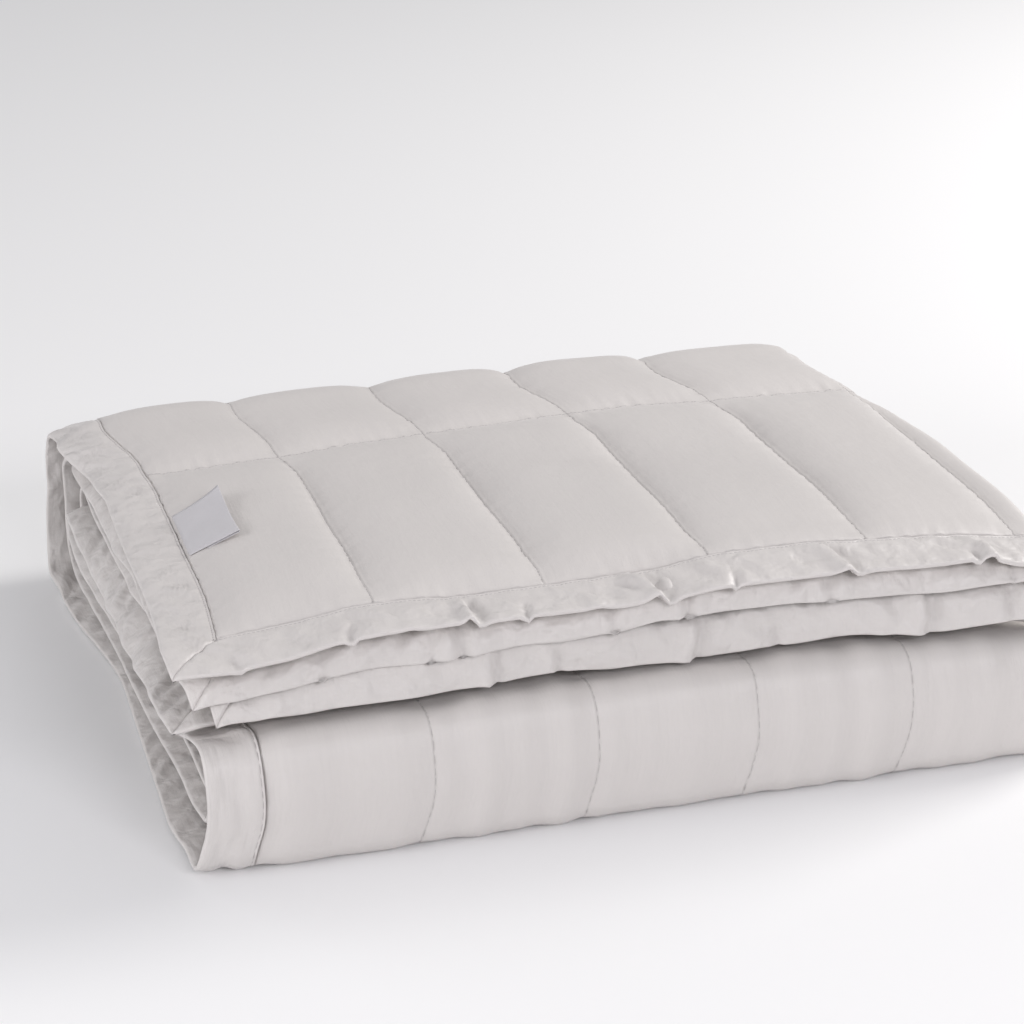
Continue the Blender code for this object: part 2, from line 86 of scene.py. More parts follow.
Run = namedtuple("Run", "name length turn")
SIDE_VIEW = (
    Run("top layers", TOP_RUN, 0),
    Run("over the back edge", QUARTER * BACK_RADIUS, -QUARTER),
    Run("down the back", BACK_UPRIGHT, 0),
    Run("under the back edge", QUARTER * BACK_RADIUS, -QUARTER),
    Run("bottom layers", TOP_RUN - FRONT_TURN_Y, 0),
    Run("round the front fold", 2 * QUARTER * TURN_RADIUS, -2 * QUARTER),
    Run("layers on the front fold", INNER_RUN_END - FRONT_TURN_Y, 0),
    Run("inner fold at the back", 2 * QUARTER * TURN_RADIUS, 2 * QUARTER),
    Run("layers under the top", LENGTH, 0),
)
OUTER_TURN = TURN_RADIUS + HALF_PITCH
LOWER_CORNER = 0.0066
UPPER_CORNER = 0.022
FRONT_VIEW = (
    Run("forward on the surface", OUTER_TURN - LOWER_CORNER, 0),
    Run("lower corner", QUARTER * LOWER_CORNER, QUARTER),
    Run("up the front", 2 * OUTER_TURN - LOWER_CORNER - UPPER_CORNER, 0),
    Run("upper corner", QUARTER * UPPER_CORNER, QUARTER),
    Run("back on the stack", OUTER_TURN - UPPER_CORNER, 0),
)
END_VIEW = (
    Run("first half", HALF_WIDTH + FOLD_OVERHANG, 0),
    Run("round the side fold", 2 * QUARTER * HALF_PITCH, -2 * QUARTER),
    Run("second half", WIDTH, 0),
)


def run_start(runs, name):
    """Distance along a list of runs at which the named one starts."""
    names = [run.name for run in runs]
    return sum(run.length for run in runs[:names.index(name)])


BACK_START = run_start(SIDE_VIEW, "over the back edge")
BOTTOM_START = run_start(SIDE_VIEW, "bottom layers")
FRONT_START = run_start(SIDE_VIEW, "round the front fold")
FRONT_END = run_start(SIDE_VIEW, "layers on the front fold")
INNER_START = run_start(SIDE_VIEW, "inner fold at the back")
INNER_END = run_start(SIDE_VIEW, "layers under the top")
SIDE_FOLD_START = run_start(END_VIEW, "round the side fold")
SIDE_FOLD_END = run_start(END_VIEW, "second half")
PATH_END = FRONT_END + INNER_STRETCH * (LENGTH - FRONT_END)

# How far the cloth lies to the side of a square fold, along its length.
Drift = namedtuple("Drift", "path first_half second_half")
DRIFT = rows_of(
    Drift,
    (0.000, 0.001, -0.043),
    (0.110, 0.006, -0.046),
    (0.200, 0.0045, -0.050),
    (0.285, 0.0030, -0.057),
    (0.330, -0.001, -0.060),
    (BACK_START, -0.018, -0.064),
    (0.490, -0.021, -0.066),
    (0.555, -0.026, -0.066),
    (BOTTOM_START, -0.021, -0.066),
    (0.750, 0.004, -0.053),
    (FRONT_START - 0.04, 0.004, -0.037),
    (FRONT_START + 0.010, 0.010, -0.033),
    (FRONT_START + 0.035, 0.021, -0.031),
    (FRONT_END + 0.04, 0.016, -0.032),
    (INNER_START, -0.014, -0.056),
    (INNER_END, -0.014, -0.056),
    (PATH_END, 0.001, -0.027),
)

# Turning-down of the free side edges, in degrees at the outer edge of the binding.
LEAST_DROOP = 0.5
SideDroop = namedtuple("SideDroop", "path first_half second_half")
SIDE_DROOP = rows_of(
    SideDroop,
    (0.000, 8, 20),
    (0.090, 12, 26),
    (0.200, 9, 44),
    (0.330, 24, 58),
    (BACK_START, 28, 46),
    (0.500, 6, 4),
    (BOTTOM_START, 8, 6),
    (0.800, 9, 8),
    (FRONT_START, 2, 4),
    (FRONT_END, 4, 6),
    (FRONT_END + 0.12, 46, 18),
    (1.250, 50, 18),
    (INNER_START, 14, 8),
    (INNER_END, 14, 20),
    (1.600, 60, 44),
    (PATH_END - 0.13, 40, 26),
    (PATH_END, 16, 12),
)

# The two ends of the blanket, across its width: how far an end is lifted off its square fold and pushed
# to the front, how much of the binding stays flat, and how far the rest turns down, at what radius.
# A fitting program set some of these values against edges traced on the photograph: below u = 0.60 the top
# end's lifts by the front seam and its droops by the first hem's lower edge, and beyond u = 0.66 the lifts of
# both ends by the lower hems' edges.
# The other values were chosen one by one.
EndShape = namedtuple("EndShape", "u lift push flat droop radius")
TOP_END = rows_of(
    EndShape,
    (0.000, 0.0012, 0.000, 0.004, 26, 0.090),
    (0.030, 0.0000, 0.000, 0.004, 11, 0.090),
    (0.060, 0.0008, 0.000, 0.004, 8, 0.090),
    (0.095, 0.0002, 0.000, 0.004, 5, 0.080),
    (0.130, 0.0015, 0.000, 0.004, 2, 0.080),
    (0.165, 0.0011, 0.000, 0.004, 2, 0.080),
    (0.205, -0.0026, 0.000, 0.004, -1, 0.080),
    (0.245, -0.0027, 0.000, 0.004, 0, 0.080),
    (0.290, -0.0029, 0.000, 0.004, 3, 0.080),
    (0.335, -0.0036, 0.000, 0.004, 3, 0.080),
    (0.390, 0.0020, 0.000, 0.004, 11, 0.080),
    (0.450, 0.0034, 0.000, 0.004, 13, 0.080),
    (0.510, 0.0009, 0.000, 0.004, 5, 0.080),
    (0.570, 0.0032, 0.000, 0.004, -1, 0.080),
    (0.622, 0.0000, 0.000, 0.006, 10, 0.060),
    (0.670, 0.0174, 0.004, 0.006, 40, 0.040),
    (0.745, 0.0118, 0.004, 0.010, 66, 0.018),
    (0.800, 0.0125, 0.005, 0.012, 70, 0.017),
    (0.860, 0.0121, 0.004, 0.012, 72, 0.016),
    (0.905, 0.0119, 0.003, 0.012, 74, 0.016),
    (0.950, 0.0097, 0.004, 0.012, 76, 0.016),
    (1.000, 0.0097, 0.005, 0.012, 78, 0.016),
    (1.050, 0.0088, 0.005, 0.011, 80, 0.016),
    (1.085, 0.0075, 0.003, 0.011, 78, 0.016),
    (1.120, 0.0080, 0.002, 0.012, 72, 0.017),
    (1.160, 0.0071, 0.001, 0.012, 62, 0.018),
    (1.192, 0.0047, 0.001, 0.012, 52, 0.020),
    (WIDTH, 0.0040, 0.000, 0.012, 46, 0.020),
)
INNER_END_SHAPE = rows_of(
    EndShape,
    (0.000, 0.0000, 0.000, 0.004, 8, 0.100),
    (0.580, 0.0000, 0.000, 0.004, 8, 0.100),
    (0.625, 0.0060, 0.001, 0.004, 34, 0.030),
    (0.670, 0.0174, 0.003, 0.004, 70, 0.015),
    (0.745, 0.0083, 0.002, 0.003, 80, 0.012),
    (0.790, 0.0106, 0.000, 0.003, 84, 0.011),
    (0.840, 0.0076, -0.002, 0.003, 84, 0.010),
    (0.900, 0.0051, -0.001, 0.003, 86, 0.010),
    (0.950, 0.0087, 0.000, 0.003, 86, 0.010),
    (1.000, 0.0128, 0.001, 0.003, 86, 0.010),
    (1.050, 0.0113, 0.002, 0.003, 86, 0.010),
    (1.100, 0.0103, 0.001, 0.004, 82, 0.011),
    (1.145, 0.0100, -0.004, 0.005, 74, 0.013),
    (1.185, 0.0101, -0.008, 0.008, 60, 0.015),
    (WIDTH, 0.0120, -0.007, 0.010, 50, 0.016),
)
LIFT_FADES = 0.032
PUSH_FADES = 0.300
CORNER_ROUND = 0.0040
CORNER_REACH = 0.030

# The back corner of the side fold is drawn in and hangs: between these distances along the side view, and
# between these flat places beside the fold.
BACK_CORNER_DRAWN = 0.012
BACK_CORNER_SAG = 0.009
BACK_CORNER = (0.18, 0.40, 0.44, 0.56)
NEAR_FOLD = (HALF_WIDTH - 0.01, SIDE_FOLD_START + 0.012, SIDE_FOLD_END - 0.012, SIDE_FOLD_END + 0.01)

# The front swells where the layers turn: how much the top and the front fold rise over a flat stack.
Swell = namedtuple("Swell", "x top fold")
SWELL = rows_of(
    Swell,
    (0.038, 0.008, 0.018),
    (0.152, 0.018, 0.013),
    (0.267, 0.020, 0.014),
    (0.381, 0.023, 0.012),
    (0.495, 0.020, 0.012),
    (0.610, 0.009, 0.015),
)
SwellShare = namedtuple("SwellShare", "z top fold")
TOP_SHARES = (0.0, 0.1, 0.35, 0.75, 1.0, 1.0, 1.0)
FOLD_SHARES = (0.0, 0.2, 0.6, 1.0, 0.6, 0.2, 0.0)
LAYERS = zip(range(len(TOP_SHARES)), TOP_SHARES, FOLD_SHARES)
SWELL_SHARE = tuple(SwellShare(LOWEST + layer * PITCH, top, fold) for layer, top, fold in LAYERS)
TOP_SWELL_ENDS = (0.04, 0.30)
BACK_SWELL_SHARE = 0.25
FOLD_SWELL_ENDS = (0.00, 0.10)
INNER_END_TUCK = 0.034
TUCK_FADES = 0.60

# The filling is pulled thin in the sharp folds, and the stitching rides towards a face that is pulled smooth.
Filling = namedtuple("Filling", "v half_loft ride")
FILLING = rows_of(
    Filling,
    (0.00, LOFT / 2, 0.0006),
    (BACK_START, LOFT / 2, 0.0006),
    (BACK_START + 0.06, 0.0075, 0.0034),
    (BOTTOM_START, LOFT / 2, 0.0036),
    (FRONT_START - 0.02, LOFT / 2, 0.0036),
    (FRONT_START + 0.01, 0.0060, 0.0032),
    (FRONT_END - 0.01, 0.0060, 0.0032),
    (FRONT_END + 0.06, LOFT / 2, 0.0),
    (LENGTH - 0.16, LOFT / 2, 0.0),
    (LENGTH, 0.0062, 0.0),
)

SIDE_FOLD_THINNING = 0.30
SIDE_FOLD_REACH = 0.020

# Waves along the free side edges of the binding, flat where they lie on the surface.
WAVE_HEIGHT = 0.0022
LONG_WAVE = 0.230
SHORT_WAVE = 0.127
SHORT_WAVE_SHARE = 0.7
WAVE_FREE_HEIGHT = 0.03

# ---- label, a folded tab sewn into the seam of the top layer ----
LABEL_START = 0.165
LABEL_LENGTH = 0.070
LABEL_REACH = 0.036
LABEL_RISE = 0.43


def eased(x, table, column):
    """Reads one column of a table at x, easing from each row to the next."""
    at = [row[0] for row in table]
    values = [getattr(row, column) for row in table]
    total = np.full_like(x, values[0], dtype=float)
    for start, end, low, high in zip(at, at[1:], values, values[1:]):
        total += (high - low) * ramp(x, start, end)
    return total


def ramp(x, start, end):
    """Rises smoothly from 0 at start to 1 at end."""
    t = np.clip((x - start) / (end - start), 0, 1)
    return t * t * (3 - 2 * t)


def window(x, start, full, fading, end):
    """Rises smoothly from 0 at start to 1, and fades again to 0 at end."""
    return ramp(x, start, full) * (1 - ramp(x, fading, end))


def walk(distance, runs, across, up):
    """Follows straight and turning runs from a start: two coordinates and the heading."""
    heading = np.zeros_like(distance)
    across = across + np.zeros_like(distance)
    up = up + np.zeros_like(distance)
    start = 0.0
    before = 0.0
    for run in runs:
        gone = np.clip(distance - start, 0, run.length)
        if run.turn:
            radius = run.length / run.turn
            across += radius * (np.sin(before + gone / radius) - math.sin(before))
            up -= radius * (np.cos(before + gone / radius) - math.cos(before))
            heading += gone / radius
        else:
            across += gone * math.cos(before)
            up += gone * math.sin(before)
        start += run.length
        before += run.turn
    return across, up, heading


def turned_down(distance, flat, degrees, radius):
    """An edge that bends down in an arc and runs on straight: the reach it loses and how far it drops.

    At a negative angle it bends up.
    """
    angle = np.abs(np.radians(degrees))
    bent = np.clip((distance - flat) / radius, 0, angle)
    straight = np.maximum(distance - flat - radius * angle, 0)
    reach = np.minimum(distance, flat) + radius * np.sin(bent) + straight * np.cos(angle)
    drop = radius * (1 - np.cos(bent)) + straight * np.sin(angle)
    return distance - reach, drop * np.sign(degrees)


def along_path(v):
    """Distance along the side view. The layers inside the stack are drawn longer than they lie flat."""
    return v + (INNER_STRETCH - 1) * np.maximum(v - FRONT_END, 0)


def corner_pull(u, v):
    """How far the blanket's four soft corners draw in along both directions."""
    from_side = np.minimum(u, WIDTH - u)
    from_end = np.minimum(v, LENGTH - v)
    near = np.clip(1 - from_side / CORNER_REACH, 0, 1) * np.clip(1 - from_end / CORNER_REACH, 0, 1)
    pull = CORNER_ROUND * near
    return pull * np.sign(WIDTH / 2 - u), pull * np.sign(LENGTH / 2 - v)


def front_fold_squareness(v):
    """How far the outer layer of the front fold lies forward of and above a round turn."""
    turned = np.clip((v - FRONT_START) / (FRONT_END - FRONT_START), 0, 1)
    square_length = sum(run.length for run in FRONT_VIEW)
    forward, up, _ = walk(turned * square_length, FRONT_VIEW, 0.0, 0.0)
    round_forward = OUTER_TURN * np.sin(math.pi * turned)
    round_up = OUTER_TURN * (1 - np.cos(math.pi * turned))
    return forward - round_forward, up - round_up


def side_drift(u, x, path):
    """How far the cloth lies to the side of a square fold."""
    second_half = ramp(u, SIDE_FOLD_START, SIDE_FOLD_END)
    edge_share = np.clip(1 - x / HALF_WIDTH, 0, 1)
    first = eased(path, DRIFT, "first_half")
    second = eased(path, DRIFT, "second_half")
    return first * (1 - second_half) + (first * (1 - edge_share) + second * edge_share) * second_half


def front_swell(x, y, z):
    """How much the layers rise over a flat stack."""
    top_fade = 1 - (1 - BACK_SWELL_SHARE) * ramp(y, *TOP_SWELL_ENDS)
    top_swell = eased(x, SWELL, "top") * top_fade * eased(z, SWELL_SHARE, "top")
    fold_fade = 1 - ramp(y, *FOLD_SWELL_ENDS)
    fold_swell = eased(x, SWELL, "fold") * fold_fade * eased(z, SWELL_SHARE, "fold")
    return top_swell + fold_swell


def back_corner(u, path):
    """1 where the back corner of the side fold is drawn in, 0 away from it."""
    return window(u, *NEAR_FOLD) * window(path, *BACK_CORNER)


def end_shape(u, v, column):
    """One value of the nearer end's shape."""
    return np.where(v < LENGTH / 2, eased(u, TOP_END, column), eased(u, INNER_END_SHAPE, column))


def side_waves(u, v, z, side_edge, heading):
    """Heights of the waves along the free side edges."""
    along = 2 * math.pi * (u + v)
    wave = np.sin(along / LONG_WAVE) + SHORT_WAVE_SHARE * np.sin(along / SHORT_WAVE)
    at_edge = (side_edge / BINDING) ** 2 * np.cos(heading)
    return WAVE_HEIGHT * wave * at_edge * ramp(z, 0.0, WAVE_FREE_HEIGHT)


def middle(u, v):
    """The middle of the cloth's thickness in the folded bundle, for flat positions u and v."""
    side_edge = np.maximum(BINDING - u, 0) + np.maximum(u - (WIDTH - BINDING), 0)
    end_edge = np.maximum(BINDING - v, 0) + np.maximum(v - (LENGTH - BINDING), 0)
    pull_u, pull_v = corner_pull(u, v)
    path = along_path(v)
    x, offset, _ = walk(u + pull_u, END_VIEW, 0.0, HALF_PITCH)
    y, z, heading = walk(path + pull_v, SIDE_VIEW, 0.0, TOP_PAIR_Z)
    y = y - offset * np.sin(heading)
    z = z + offset * np.cos(heading)

    second_half = ramp(u, SIDE_FOLD_START, SIDE_FOLD_END)
    forward, upward = front_fold_squareness(v)
    y = y - forward * (1 - second_half)
    z = z + upward * (1 - second_half)
    tuck = INNER_END_TUCK * ramp(path, INNER_END, PATH_END - BINDING)
    y = y + tuck * (1 - ramp(u, TUCK_FADES, SIDE_FOLD_END))
    drift = side_drift(u, x, path)
    z = z + front_swell(x + drift, y, z)

    first_angle = eased(path, SIDE_DROOP, "first_half")
    second_angle = eased(path, SIDE_DROOP, "second_half")
    side_angle = np.where(u < HALF_WIDTH, first_angle, second_angle) * np.abs(np.cos(heading)) + LEAST_DROOP
    lost, drop = turned_down(side_edge, 0.0, side_angle, BINDING / np.radians(side_angle))
    drawn = back_corner(u, path)
    x = x + lost + drift - BACK_CORNER_DRAWN * drawn
    z = z - drop - BACK_CORNER_SAG * drawn

    from_seam = np.minimum(v, LENGTH - v) - BINDING
    flat, droop, radius = (end_shape(u, v, column) for column in ("flat", "droop", "radius"))
    lost, drop = turned_down(end_edge, flat, droop, radius)
    y = y + lost - end_shape(u, v, "push") * (1 - ramp(from_seam, 0, PUSH_FADES))
    z = z - drop + end_shape(u, v, "lift") * (1 - ramp(from_seam, 0, LIFT_FADES))
    z = z + side_waves(u, v, z, side_edge, heading)
    return np.stack([x, y, z], -1)


def facing(u, v):
    """Unit normals of the cloth's middle, towards its outer face."""
    step = 0.0005
    along_u = middle(u + step, v) - middle(u - step, v)
    along_v = middle(u, v + step) - middle(u, v - step)
    normal = np.cross(along_u, along_v)
    return normal / np.linalg.norm(normal, axis=-1, keepdims=True)


# ---- fullness and puckers of the quilting ----
# How far the quilting lines of the top lie aside of straight ones, along the blanket.
LineShift = namedtuple("LineShift", "v first second third fourth")
LINE_SHIFTS = rows_of(
    LineShift,
    (0.045, -0.0088, -0.0050, -0.0024, -0.0004),
    (0.090, -0.0115, -0.0092, -0.0072, -0.0014),
    (0.160, -0.0108, -0.0092, -0.0050, 0.0006),
    (0.280, -0.0085, -0.0076, -0.0032, 0.0006),
    (0.345, -0.0140, -0.0118, -0.0082, -0.0060),
    (0.400, -0.0125, -0.0130, -0.0135, -0.0130),
    (0.520, -0.0100, -0.0100, -0.0100, -0.0100),
    (0.640, 0.0, 0.0, 0.0, 0.0),
)
RowShift = namedtuple("RowShift", "u shift")
ROW_SHIFT = rows_of(
    RowShift,
    (0.038, -0.014),
    (0.150, -0.012),
    (0.220, -0.003),
    (0.300, 0.002),
    (0.380, 0.007),
    (0.430, 0.009),
    (0.500, 0.004),
    (0.600, 0.004),
    (0.660, 0.0),
)
CELL_SPREAD = 0.09
CELL_SEED = 5
CROWN_RISE = 3.0
CROWN_FALL = 4.6
CROWN_ALONG = 7
PUCKER_HEIGHT = 0.0008
PUCKER_REACH = 0.011
PUCKER_WAVES = (0.007, 0.019)
PUCKER_SLANT = 0.5
OUTER_PUCKER_SEED = 31
INNER_PUCKER_SEED = 41
BILLOW_HEIGHT = 0.0007
BILLOW_WAVES = (0.055, 0.150)
BILLOW_SEED = 21
TOP_FULLNESS = 0.0028
TOP_FULLNESS_FADES = (0.335, 0.410)
FRONT_WAVE_HEIGHT = 0.0011
FRONT_WAVES = (0.020, 0.070)
FRONT_WAVE_SLANT = 0.22
FRONT_WAVE_SEED = 51
FRONT_WAVE_WINDOW = (FRONT_START - 0.02, FRONT_START + 0.01, FRONT_END, FRONT_END + 0.03)
RIPPLE_COUNT = 7


def ripples(x, y, waves, seed, slant=math.pi):
    """Uneven ripples between -1 and 1: a few waves of random length, direction and phase."""
    draw = np.random.default_rng(seed)
    total = np.zeros_like(x)
    for _ in range(RIPPLE_COUNT):
        length = draw.uniform(*waves)
        angle = draw.uniform(-slant, slant)
        phase = draw.uniform(0, 2 * math.pi)
        total += np.sin(2 * math.pi * (x * math.cos(angle) + y * math.sin(angle)) / length + phase)
    return total / math.sqrt(2 * RIPPLE_COUNT)


def sewn_place(u, v):
    """Where a flat position lies when the quilting lines run as unevenly as they are sewn and pulled."""
    shifted_lines = LineShift._fields[1:]
    lines = [BINDING + CELL_WIDTH * line for line in range(len(shifted_lines) + 2)]
    straight = np.zeros_like(u)
    shifts = [straight] + [eased(v, LINE_SHIFTS, name) for name in shifted_lines] + [straight]
    aside = np.zeros_like(u)
    for start, end, low, high in zip(lines, lines[1:], shifts, shifts[1:]):
        inside = (u > start) & (u <= end)
        aside = np.where(inside, low + (high - low) * ramp(u, start, end), aside)
    first_row = BINDING + CELL_LENGTH
    near_row = window(v, BINDING, first_row, first_row, first_row + CELL_LENGTH)
    along = eased(u, ROW_SHIFT, "shift") * near_row
    return u + aside, v + along


def quilt_place(u, v):
    """Column and row of a flat position, as whole cells and the part of a cell."""
    column = (u - BINDING) / CELL_WIDTH
    row = (v - BINDING) / CELL_LENGTH
    return np.clip(column, 0, COLUMNS), np.clip(row, 0, ROWS)


def crown(u, v):
    """Fullness of the quilting: 0 on the stitching and in the binding, 1 in the middle of a cell."""
    column, row = quilt_place(u, v)
    fullness = 1 + CELL_SPREAD * np.random.default_rng(CELL_SEED).uniform(-1, 1, (COLUMNS + 1, ROWS + 1))
    aside = 2 * (column % 1) - 1
    across = 1 - np.abs(aside) ** np.where(aside < 0, CROWN_RISE, CROWN_FALL)
    along = 1 - np.abs(2 * (row % 1) - 1) ** CROWN_ALONG
    inside = (column < COLUMNS) & (row < ROWS)
    thinned = 1 - SIDE_FOLD_THINNING * round_side_fold(u)
    return np.where(inside, across * along, 0) * fullness[column.astype(int), row.astype(int)] * thinned


def round_side_fold(u):
    """1 where the cloth is bent sharply round the side fold, 0 away from it."""
    reach = SIDE_FOLD_REACH
    return window(u, SIDE_FOLD_START - reach, SIDE_FOLD_START, SIDE_FOLD_END, SIDE_FOLD_END + reach)


def puckers(u, v, seed):
    """Small gathers that run out from the stitching on both of its sides."""
    column, row = quilt_place(u, v)
    from_column = np.abs(column - np.round(column)) * CELL_WIDTH
    from_row = np.abs(row - np.round(row)) * CELL_LENGTH
    beside_column = ripples(v, u, PUCKER_WAVES, seed, PUCKER_SLANT) * np.exp(-from_column / PUCKER_REACH)
    beside_row = ripples(u, v, PUCKER_WAVES, seed + 1, PUCKER_SLANT) * np.exp(-from_row / PUCKER_REACH)
    return PUCKER_HEIGHT * (beside_column + beside_row)


def stitch_ride(u, v):
    """How far the stitching lies towards the outer face."""
    return eased(v, FILLING, "ride") * (1 - ramp(u, SIDE_FOLD_START, SIDE_FOLD_END))


def panel_faces(u, v):
    """Heights of the panel's outer and inner faces over the cloth's middle."""
    ride = stitch_ride(u, v)
    full = crown(u, v)
    half_loft = eased(v, FILLING, "half_loft")
    billow = BILLOW_HEIGHT * ripples(u, v, BILLOW_WAVES, BILLOW_SEED) * full
    before_side_fold = 1 - ramp(u, SIDE_FOLD_START - SIDE_FOLD_REACH, SIDE_FOLD_START)
    on_top = (1 - ramp(v, *TOP_FULLNESS_FADES)) * before_side_fold
    on_front = window(v, *FRONT_WAVE_WINDOW)
    front_waves = ripples(u, v, FRONT_WAVES, FRONT_WAVE_SEED, FRONT_WAVE_SLANT)
    rise = TOP_FULLNESS * on_top * full + FRONT_WAVE_HEIGHT * on_front * front_waves
    outer = SEAM / 2 + ride + full * (half_loft - SEAM / 2 - ride) + billow
    outer = outer + puckers(u, v, OUTER_PUCKER_SEED) + rise
    inner = ride - SEAM / 2 - full * (half_loft + ride - SEAM / 2) + billow
    inner = inner - puckers(u, v, INNER_PUCKER_SEED)
    return outer, inner


# ---- cross-section of the binding ----
NOSE = 0.0019
LEAST_NOSE = 0.004
BINDING_HALF = 0.0017
ROLL_ENDS = (0.004, 0.020)
SEAM_LIP = 0.0006
TOPSTITCH = 0.0020
DITCH_DEPTH = 0.0006
DITCH_WIDTH = 0.0009
BINDING_PUFF = 0.0005
PUFF_FROM_EDGE = 0.010
PUFF_FROM_SEAM = 0.012
GATHER_HEIGHT = 0.0013
GATHER_WAVES = (0.011, 0.032)
GATHER_SLANT = 0.6
GATHER_SEED = 61
GATHER_AT_EDGE = 0.7
GATHER_AT_SEAM = 0.25
GATHER_EDGE_FADES = 0.004
GATHER_SEAM_FADES = (0.001, 0.010)

# How much the binding crumples: its ends, and its sides everywhere, round the back and inside the stack.
CRUMPLE_HEIGHT = 0.0016
CRUMPLE_WAVES = (0.030, 0.085)
CRUMPLE_SEED = 71
END_CRUMPLE = 0.75
SIDE_CRUMPLE = 0.25
BACK_CRUMPLE = 2.0
INSIDE_CRUMPLE = 0.7
BACK_CRUMPLE_WINDOW = (0.36, BACK_START + 0.02, BOTTOM_START, BOTTOM_START + 0.10)
INSIDE_CRUMPLE_STARTS = (FRONT_END + 0.05, FRONT_END + 0.15)

# Pinches and creases of the three hems at the front. Each runs in from the outer edge of the binding:
# its place along the edge, how far it leans by the seam, its widths before and behind its line, its height
# towards the side that is seen, and how much of the binding it crosses. Places on the two lower hems are
# MIRROR less the flat place, so they run from left to right as well.
PINCH_STRENGTH = 1.9
PINCH_RUNS_ON = 0.6
PINCH_FADES = 0.004
Pinch = namedtuple("Pinch", "at lean before behind height reach")
MIRROR = SIDE_FOLD_END + HALF_WIDTH - FOLD_OVERHANG
FIRST_HEM = rows_of(
    Pinch,
    (0.048, -0.004, 0.004, 0.003, -0.0012, 0.4),
    (0.122, 0.006, 0.004, 0.002, -0.0020, 0.5),
    (0.161, 0.004, 0.006, 0.006, 0.0008, 0.8),
    (0.202, -0.003, 0.004, 0.003, 0.0026, 1.0),
    (0.209, -0.002, 0.003, 0.005, -0.0016, 0.8),
    (0.241, 0.005, 0.003, 0.002, -0.0020, 0.5),
    (0.291, -0.006, 0.008, 0.006, 0.0008, 0.8),
    (0.334, -0.014, 0.009, 0.0025, 0.0030, 1.0),
    (0.341, -0.013, 0.0025, 0.006, -0.0020, 0.9),
    (0.388, 0.006, 0.003, 0.002, -0.0020, 0.5),
    (0.470, -0.016, 0.009, 0.003, 0.0024, 1.0),
    (0.477, -0.015, 0.003, 0.006, -0.0012, 0.9),
    (0.566, 0.004, 0.003, 0.002, -0.0020, 0.5),
    (0.577, -0.010, 0.007, 0.003, 0.0022, 0.9),
)
SECOND_HEM = rows_of(
    Pinch,
    (0.115, 0.004, 0.003, 0.002, -0.0018, 0.5),
    (0.184, 0.003, 0.003, 0.002, -0.0018, 0.6),
    (0.195, 0.001, 0.005, 0.008, 0.0020, 1.0),
    (0.203, 0.003, 0.003, 0.003, -0.0013, 0.9),
    (0.211, 0.004, 0.007, 0.004, 0.0014, 1.0),
    (0.301, 0.004, 0.003, 0.002, -0.0018, 0.5),
    (0.343, 0.003, 0.003, 0.007, 0.0024, 1.0),
    (0.350, 0.003, 0.004, 0.002, -0.0018, 0.8),
    (0.446, 0.004, 0.003, 0.002, -0.0018, 0.5),
    (0.574, 0.004, 0.003, 0.002, -0.0018, 0.5),
)
THIRD_HEM = rows_of(
    Pinch,
    (0.211, 0.000, 0.003, 0.004, 0.0022, 1.0),
    (0.217, 0.000, 0.002, 0.004, -0.0016, 0.9),
    (0.259, 0.003, 0.003, 0.002, -0.0020, 0.5),
    (0.345, -0.008, 0.003, 0.007, 0.0024, 1.0),
    (0.352, -0.008, 0.005, 0.002, -0.0016, 0.9),
    (0.409, 0.003, 0.003, 0.002, -0.0020, 0.5),
    (0.481, 0.000, 0.006, 0.006, 0.0014, 0.6),
    (0.507, -0.004, 0.003, 0.010, 0.0026, 1.0),
    (0.516, -0.004, 0.006, 0.003, -0.0020, 0.9),
    (0.572, -0.004, 0.005, 0.003, -0.0020, 0.9),
)


def pinched(u, v):
    """Height of the pinches at the two ends of the blanket, towards the side that is seen."""
    total = np.zeros_like(u)
    hems = ((FIRST_HEM, v, 0, 1), (SECOND_HEM, v, MIRROR, -1), (THIRD_HEM, LENGTH - v, MIRROR, -1))
    for pinches, from_edge, origin, direction in hems:
        for pinch in pinches:
            beyond = u - (origin + direction * pinch.at) - pinch.lean * from_edge / BINDING
            width = np.where(beyond < 0, pinch.before, pinch.behind)
            reach = pinch.reach * BINDING
            fade = 1 - ramp(from_edge, PINCH_RUNS_ON * reach, reach + PINCH_FADES)
            total += pinch.height * np.exp(-(beyond / width) ** 2) * fade
    return total


def binding_thickness(across, from_seam):
    """Half the binding's thickness: round at the outer edge, full behind it, pinched by its stitching."""
    nose = np.sqrt(np.clip(1 - (1 - np.clip(across / NOSE, 0, 1)) ** 2, LEAST_NOSE, 1))
    half = NOSE + (BINDING_HALF - NOSE) * ramp(across, *ROLL_ENDS)
    puff = BINDING_PUFF * ramp(across, 0, PUFF_FROM_EDGE) * ramp(from_seam, TOPSTITCH, PUFF_FROM_SEAM)
    ditch = DITCH_DEPTH * np.exp(-((from_seam - TOPSTITCH) / DITCH_WIDTH) ** 2)
    lip = (half - SEAM_LIP) * (1 - ramp(from_seam, 0, SEAM_LIP))
    return half * nose + puff - ditch - lip


def gathered(u, v, across, from_seam):
    """Heights of the small gathers that run across the binding."""
    waves = ripples(u + v, across, GATHER_WAVES, GATHER_SEED, GATHER_SLANT)
    by_edge = GATHER_AT_EDGE + (1 - GATHER_AT_EDGE) * ramp(across, 0, BINDING)
    by_seam = GATHER_AT_SEAM + (1 - GATHER_AT_SEAM) * ramp(from_seam, *GATHER_SEAM_FADES)
    return GATHER_HEIGHT * waves * by_edge * ramp(across, 0.0, GATHER_EDGE_FADES) * by_seam


